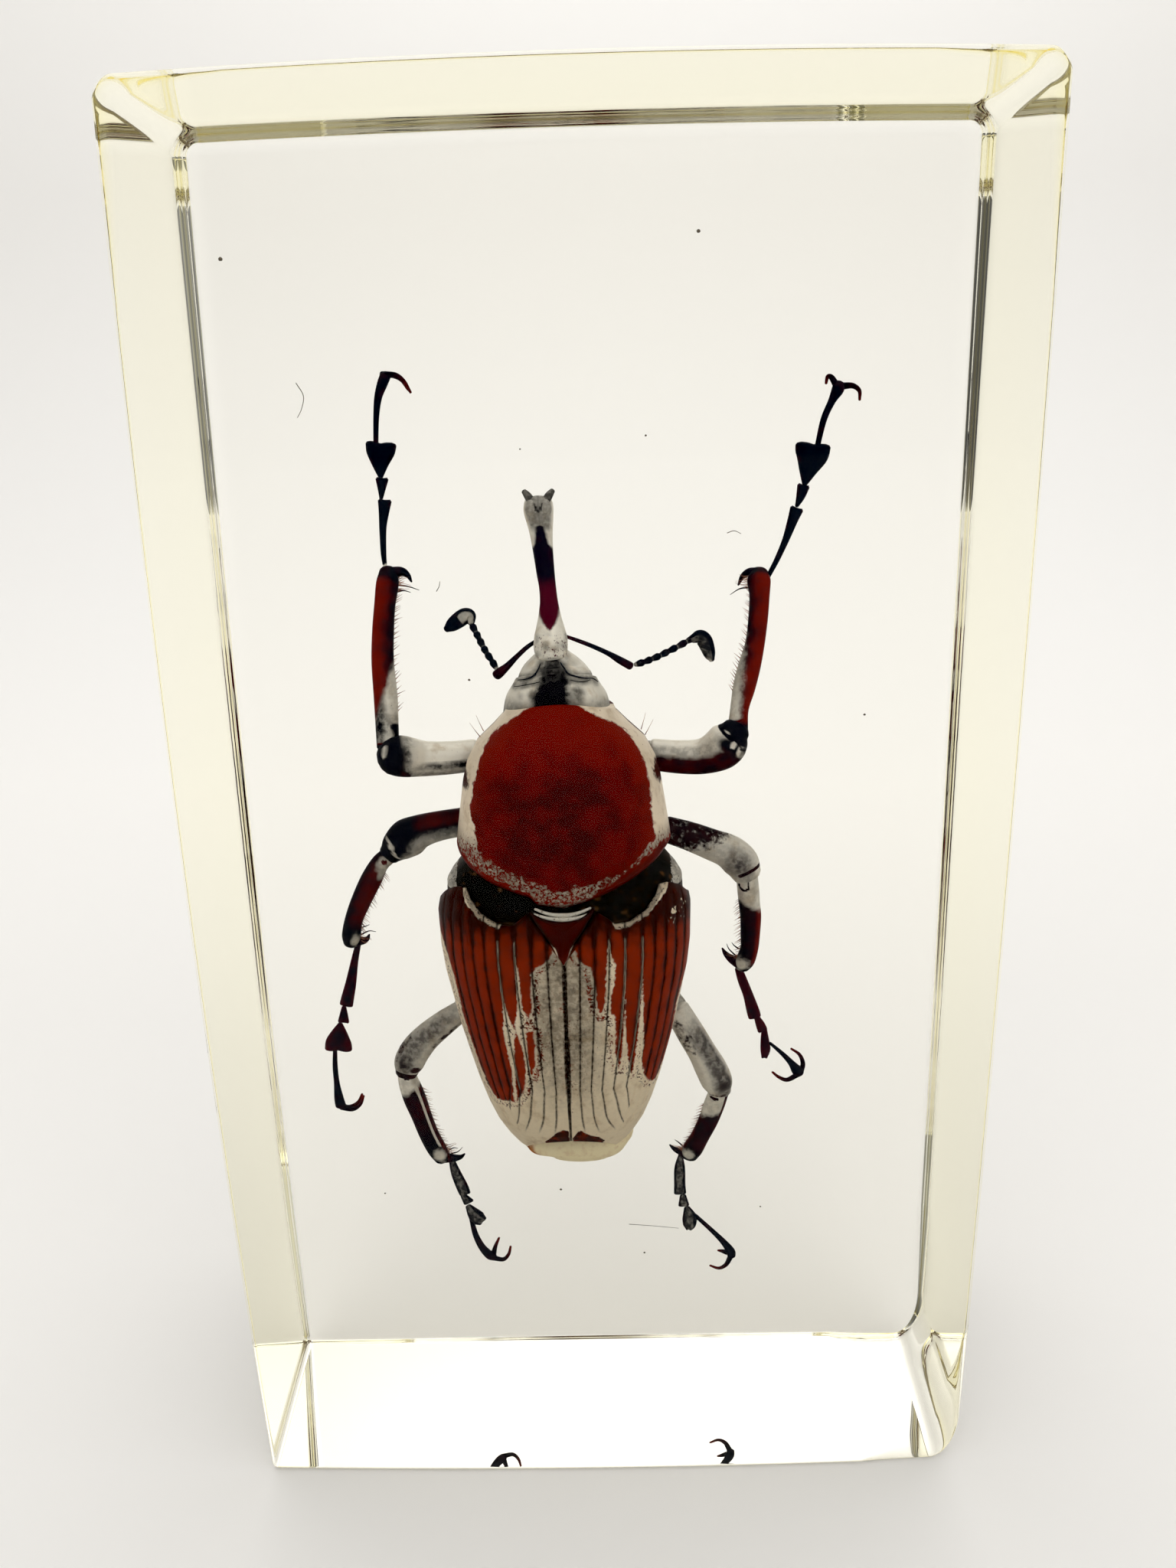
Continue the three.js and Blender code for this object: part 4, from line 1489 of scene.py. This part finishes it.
def fore_left_femur(t, s):
    knee = rise(0.55, 1.0, t - 0.05 * s - 0.1 * np.abs(s))
    film = 0.25 - 0.6 * knee
    film = np.where(blob(t, s, 0.72, -0.9, 0.14, 0.3) > 0, -0.2, film)
    stripe = 0.85 * band(s, -0.55, -0.15, 0.15) * rise(0.7, 0.15, t)
    under = 0.32 * rise(-0.4, -0.8, s)
    near_knee = 0.75 * rise(0.5, 0.78, t) * (1 - 0.5 * rise(0.3, 0.8, s))
    return film, 0.3, rise(0.6, 0.85, t), np.clip(np.maximum(stripe, under) + near_knee, 0, 0.95)


def fore_left_tibia(t, s):
    film = np.clip((0.30 + 0.11 * s - t) * 4.5, -0.6, 0.5)
    base = np.maximum(rise(0.04, 0.01, t), rise(0.19, 0.13, t) * rise(0.15, 0.5, s))
    film = np.maximum(film - 1.2 * base, 0.3 * blob(t, s, 0.1, 0.15, 0.05, 0.38))
    dark = 0.7 * rise(0.0, 0.7, s) + 0.95 * rise(0.84, 0.94, t) + base
    purple = 0.62 * rise(0.25, -0.7, s) + 0.25 * band(t, 0.1, 0.2, 0.06)
    return film, 0.6 - 0.4 * s, dark, np.clip(purple + 0.1, 0, 0.85)


def fore_right_femur(t, s):
    knee = rise(0.82, 0.92, t + 0.06 * s)
    split = rise(0.62, 0.75, t)
    film = np.clip((-0.1 - s) * 0.9, -0.35, 0.35) * (1 - split) + 0.3 * split - 0.9 * knee
    for at, to, long, wide in ((0.97, -0.45, 0.02, 0.2), (0.86, 0.7, 0.02, 0.25)):
        film = np.maximum(film, 0.3 * blob(t, s, at, to, long, wide))
    film = np.minimum(film, 0.25 - 0.8 * blob(t, s, 0.76, 0.15, 0.19, 0.85))
    grey = 0.25 + 0.4 * rise(0.6, 0.85, t) * rise(-0.6, 0.2, s) - 0.25 * rise(-0.5, -0.9, s)
    return film, 0.45 - 0.3 * t, 0.5 + rise(0.65, 0.8, t), np.clip(grey, 0, 0.8)


def fore_right_tibia(t, s):
    base = rise(0.07, 0.02, t)
    film = np.clip((0.05 - 3.0 * (t - 0.12) - s) * 0.35, -0.6, 0.35) - base
    dark = base + 0.9 * rise(0.88, 0.96, t) + 0.6 * rise(-0.2, -0.8, s)
    return film, 0.6 + 0.35 * s, dark, 0.15


# The silver curls at the middle left knee: place along and across, length and width.
MIDDLE_LEFT_CURLS = [
    (0.82, 0.3, 0.045, 0.25), (0.79, 0.6, 0.02, 0.3), (0.9, -0.4, 0.02, 0.4), (0.86, -0.15, 0.02, 0.2),
]


def middle_left_femur(t, s):
    film = np.clip((-0.28 - s - 0.5 * rise(0.45, 0.8, t)) * 0.5, -0.3, 0.4) - 0.6 * rise(0.88, 0.96, t)
    for at, to, long, wide in MIDDLE_LEFT_CURLS:
        film = np.maximum(film, 0.3 * blob(t, s, at, to, long, wide))
    dark = 0.5 + 0.6 * rise(0.3, 0.5, t) + 0.5 * rise(0.35, -0.1, s)
    shade = 0.25 + 0.3 * rise(0.5, 0.0, t) * band(s, -0.6, -0.2, 0.15)
    return film, 0.3 + 0.25 * band(s, 0.2, 0.8, 0.2), dark, shade


def middle_left_tibia(t, s):
    film = np.where(blob(t, s, 0.05, -0.25, 0.04, 0.3) > 0, -0.2, 0.35 * blob(t, s, 0.07, -0.3, 0.11, 0.7))
    film = np.maximum(film, 0.35 * blob(t, s, 0.17, -0.7, 0.1, 0.35))
    film = np.maximum(film, 0.35 * blob(t, s, 0.88, -0.55, 0.1, 0.45))
    dark = 0.45 + 0.65 * rise(0.55, 0.8, t) + 0.3 * rise(0.2, 0.9, s)
    return film, 0.45 - 0.3 * s, dark, 0.25


def middle_right_femur(t, s):
    film = np.clip((t - 0.34 + 0.14 * s) * 1.6, -0.16, 0.4)
    film = film - 0.7 * band(t, 0.91, 0.98, 0.015) * rise(0.75, 0.35, s)
    shade = 0.3 + 0.45 * blob(t, s, 0.78, 0.1, 0.25, 0.7) + 0.3 * rise(0.55, 0.25, t)
    return film, 0.25, 0.6, np.clip(shade, 0.08, 0.8)


def middle_right_tibia(t, s):
    base = np.clip((0.27 - t - 0.07 * s) * 4, -0.6, 0.3)
    film = np.maximum(base, 0.3 * blob(t, s, 0.9, 0.35, 0.09, 0.75))
    film = np.where(np.abs(blob(t, s, 0.05, 0.35, 0.06, 0.6) - 0.25) < 0.17, -0.2, film)
    dark = np.maximum(0.7 * rise(-0.75, -0.3, s), rise(0.8, 0.93, t)) + 0.2
    return film, 0.5 - 0.4 * s, dark, 0.15


def hind_left_femur(t, s):
    film = 0.6 - 1.2 * rise(0.93, 0.97, t)
    film = np.minimum(film, 0.25 - 0.75 * blob(t, s, 0.84, -0.6, 0.11, 0.55))
    film = np.minimum(film, 0.3 - 0.45 * blob(t, s, 0.25, -0.8, 0.4, 0.4))
    film = np.minimum(film, 0.28 - 0.4 * blob(t, s, 0.6, 0.85, 0.4, 0.35))
    middle = 0.34 * band(s, -0.3, 0.7, 0.3) * band(t, 0.1, 0.9, 0.15)
    shade = 0.22 + middle + 0.3 * blob(t, s, 0.82, 0.3, 0.2, 0.8).clip(0)
    return film, 0.25, 0.5, np.clip(shade, 0.1, 0.85)


def hind_left_tibia(t, s):
    top = np.clip((0.22 - t + 0.04 * s) * 5, -0.6, 0.3)
    line = 0.75 * rise(0.18, 0.04, np.abs(s + 0.62)) * band(t, 0.15, 0.8, 0.05) - 0.45
    film = np.max([top, line, 0.35 * blob(t, s, 0.9, -0.1, 0.09, 0.6)], axis=0)
    film = np.where(blob(t, s, 0.03, -0.2, 0.03, 0.5) > 0, -0.2, film)
    dark = np.where(s < -0.7, 0.4, 0.8 + 0.2 * rise(0.4, 0.8, t))
    return film, 0.4, dark, 0.15


def hind_right_femur(t, s):
    film = 0.6 - 1.2 * rise(0.955, 0.98, t)
    film = np.minimum(film, 0.3 - 0.6 * blob(t, s, 0.85, -0.35, 0.14, 0.6))
    film = np.minimum(film, 0.2 - 1.1 * blob(t, s, 0.2, 0.45, 0.18, 0.55))
    film = np.maximum(film, 0.3 * rise(-0.75, -0.9, s))
    shade = 0.5 * band(t, 0.15, 0.92, 0.15) * rise(0.45, -0.2, s) * rise(-1, -0.75, s)
    shade = shade + 0.1 + 0.2 * rise(0.7, 0.85, t) * rise(0.5, 0.2, s)
    return film, 0.3, 0.4, np.clip(shade, 0, 0.85)


def hind_right_tibia(t, s):
    base = np.clip((0.29 - t + 0.05 * s) * 4, -0.6, 0.3)
    film = np.maximum(base, 0.35 * blob(t, s, 0.88, 0.35, 0.1, 0.6))
    film = np.minimum(film, 0.25 - 0.9 * rise(-0.6, -0.85, s))
    film = np.where(blob(t, s, 0.03, 0.3, 0.03, 0.5) > 0, -0.2, film)
    dark = np.where(s > 0.85, 0.3, 0.85 - 0.3 * rise(-0.6, -0.9, s)) + 0.3 * rise(0.75, 0.9, t)
    return film, 0.4, dark, 0.15


SKINS = {
    "fore_left": (fore_left_femur, fore_left_tibia),
    "fore_right": (fore_right_femur, fore_right_tibia),
    "middle_left": (middle_left_femur, middle_left_tibia),
    "middle_right": (middle_right_femur, middle_right_tibia),
    "hind_left": (hind_left_femur, hind_left_tibia),
    "hind_right": (hind_right_femur, hind_right_tibia),
}
# How many sides a femur's and a tibia's rings have, and how deep they are for their width.
LIMBS = {"femur": {"sides": 44, "thick": 0.82}, "tibia": {"sides": 36, "thick": 0.85}}
# What a leg has where its table says nothing else: how far its knee's cap stands out, the pale spots on its
# femur (x, z, width and height), the femur's finish, how far the third joint is notched, how wine red and
# how slate grey its tarsus is, and whether that starts pale.
PLAIN_LEG = {
    "knee": 0.75,
    "spots": [],
    "femur_look": "limb",
    "notch": 0.22,
    "wine": -0.12,
    "slate": 0,
    "pale_base": False,
}


def make_limb(name, leg, part, skin, cap, look, spots=()):
    """A femur or tibia, with its silver patches and the pale spots on it."""
    points, faces, along, side = sweep(leg[part], per=14, caps=(0.4, cap), square=2.2, **LIMBS[part])
    film, tone, dark, shade = skin(along, side)
    for x, z, wide, tall in spots:
        near = 1 - np.hypot((points[:, 0] - x) / wide, (points[:, 2] - z) / tall)
        film = np.maximum(film, np.where(near > 0, 0.5 * near, film))
        shade = np.where(near > 0, 0.1, shade)
    tone = tone + 0.1 * smooth_noise(points, 0.8, 2.0)
    skin_piece(f"{name}_{part}", (points, faces), look, film, tone, np.clip(dark, 0, 1), shade)


def make_tarsus(name, leg):
    """The three joints and the longer last one, the onychium, that carries the claws."""
    for count, joint in enumerate(leg["tarsus"], 1):
        notch = leg["notch"] if count == 3 else 0.05
        points, faces, along, side = lobed(joint, notch, sides=28, per=10, thick=0.55, caps=(0.5, 0.35))
        film = 0.25 - 3 * along if count == 1 and leg["pale_base"] else -0.6
        if leg["slate"]:
            film = 0.2 - 0.35 * np.abs(side) + 0.1 * smooth_noise(points, 0.3)
        tone = leg["wine"] + 0.3 * rise(0.4, 0.95, np.abs(side))
        skin_piece(f"{name}_tarsus_{count}", (points, faces), "tarsus", film, tone, 0.0, leg["slate"])
    skin_piece(name + "_onychium", sweep(leg["onychium"], sides=20, per=10), "tarsus", -0.6, 0.1)
    for count, claw in enumerate(leg["claws"], 1):
        points, faces, along, side = sweep(taper(claw, 0.18, 0.07), sides=14, per=8, thick=0.9)
        skin_piece(f"{name}_claw_{count}", (points, faces), "limb", -0.6, 0.7 * along, 1.0 - 0.8 * along)


def make_leg(name, leg):
    """One leg: its parts from the body to the claws, each with its own silver patches."""
    leg = {**PLAIN_LEG, **leg}
    points, faces, along, side = sweep(leg["coxa"], sides=28)
    skin_piece(name + "_coxa", (points, faces), "limb", 0.5 * rise(0.5, 0.7, along) - 0.22, 0.2, 0.5, 0.3)
    femur_skin, tibia_skin = SKINS[name]
    make_limb(name, leg, "femur", femur_skin, leg["knee"], leg["femur_look"], leg["spots"])
    make_limb(name, leg, "tibia", tibia_skin, 0.75, "limb")
    make_tarsus(name, leg)
    hook = sweep(taper(leg["hook"], 0.36, 0.05), sides=20, per=8, thick=0.8)
    skin_piece(name + "_hook", hook, "tarsus", -0.6, 0.2, 0.2)
    spines = [sweep(taper(spine, 0.055, 0.015), sides=8, per=5)[:2] for spine in leg["spines"]]
    skin_piece(name + "_spines", joined(spines + tarsal_teeth(leg["tarsus"])), "tarsus", -0.6, 0.3, 0.2)
    # The length of the name seeds the bristles, so that not all legs have the same ones.
    long_hairs = fringe(leg["tibia"], leg["fringe_side"], 0.22, 0.93, 40, 0.5, seed=len(name))
    end_hairs = fringe(leg["tibia"], leg["fringe_side"], 0.84, 0.98, 5, 0.7, 0.028, 0.1, seed=7)
    piece(name + "_fringe", *joined([long_hairs, end_hairs]), finish("hair"))


# The front corners' bristles: x, z and lean.
SETAE = [(-5.75, 43, -0.45), (-5.95, 42.7, -0.75), (2.55, 42.9, 0.3), (2.75, 42.6, 0.6)]


def make_setae():
    """The few bristles that stand out from the front corners of the pronotum."""
    hairs = [hair((x, 0.4, z), (lean, -0.1, 1.0), 0.85, 0.024, 0.1) for x, z, lean in SETAE]
    piece("pronotum_setae", *joined(hairs), finish("hair"))


# What is cast into the resin: specks of dust as x, y, z and radius, and fibres as x, y, z points.
SPECKS = [
    (-16.2, -4, 66, 0.09), (5.3, -4, 66.6, 0.08), (3, 2, 57.8, 0.05), (-3.3, 2, 57.3, 0.04),
    (-6.2, -2, 46.1, 0.06), (14.6, 3, 43, 0.06), (-2.7, 6, 12.6, 0.07), (9.5, 4, 12, 0.05),
    (-13.5, 5, 13, 0.05), (2.4, 5, 8.4, 0.06),
]
FIBRES = [
    [(-13.9, 0, 60.7), (-13.6, 0, 60.1), (-13.75, 0, 59.5), (-14, 0.1, 59.1)],
    [(-8, 3, 50.2), (-7.85, 3, 50.45), (-7.8, 3, 50.7)],
    [(7.1, 2, 52.9), (7.45, 2, 53), (7.8, 2, 52.85)],
    [(1.5, 7, 9.6), (3, 7, 9.45), (4.6, 7, 9.25)],
]
# A speck's own shape, in shares of its radius: out, up and half width.
SPECK = [(-0.5, 0, 0.8), (0, 0.2, 1), (0.6, 0, 0.7)]


def make_dust():
    """The specks and fibres in the resin."""
    for count, (x, y, z, radius) in enumerate(SPECKS, 1):
        stations = [(x + radius * out, y, z + radius * up, radius * wide) for out, up, wide in SPECK]
        piece(f"speck_{count}", *sweep(stations, sides=10, per=3)[:2], finish("dust"))
    for count, fibre in enumerate(FIBRES, 1):
        piece(f"fibre_{count}", *sweep(taper(fibre, 0.022, 0.014), sides=6, per=5)[:2], finish("dust"))


def make_insect():
    """Every piece that is sealed in the block."""
    make_core()
    make_tail()
    make_wing_case(-1, "wing_case_left", RED_LEFT)
    make_wing_case(1, "wing_case_right", RED_RIGHT)
    make_scutellum()
    make_pronotum()
    make_rear_lobe()
    make_head()
    make_snout()
    make_setae()
    make_dust()
    for name, antenna in ANTENNAE.items():
        make_antenna(name, antenna)
    for name, leg in LEGS.items():
        make_leg(name, leg)


def set_view():
    """Exposure and contrast, and enough light bounces for the resin."""
    scene = bpy.context.scene
    scene.view_settings.view_transform = "Standard"
    scene.view_settings.exposure = 0.21
    scene.view_settings.use_curve_mapping = True
    scene.view_settings.curve_mapping.black_level = (0.004, 0.004, 0.004)
    scene.cycles.max_bounces = 24
    scene.cycles.transmission_bounces = 20
    scene.cycles.glossy_bounces = 16
    scene.cycles.diffuse_bounces = 4


set_view()
make_camera()
make_floor()
make_world()
make_lamp()
make_block()
make_insect()
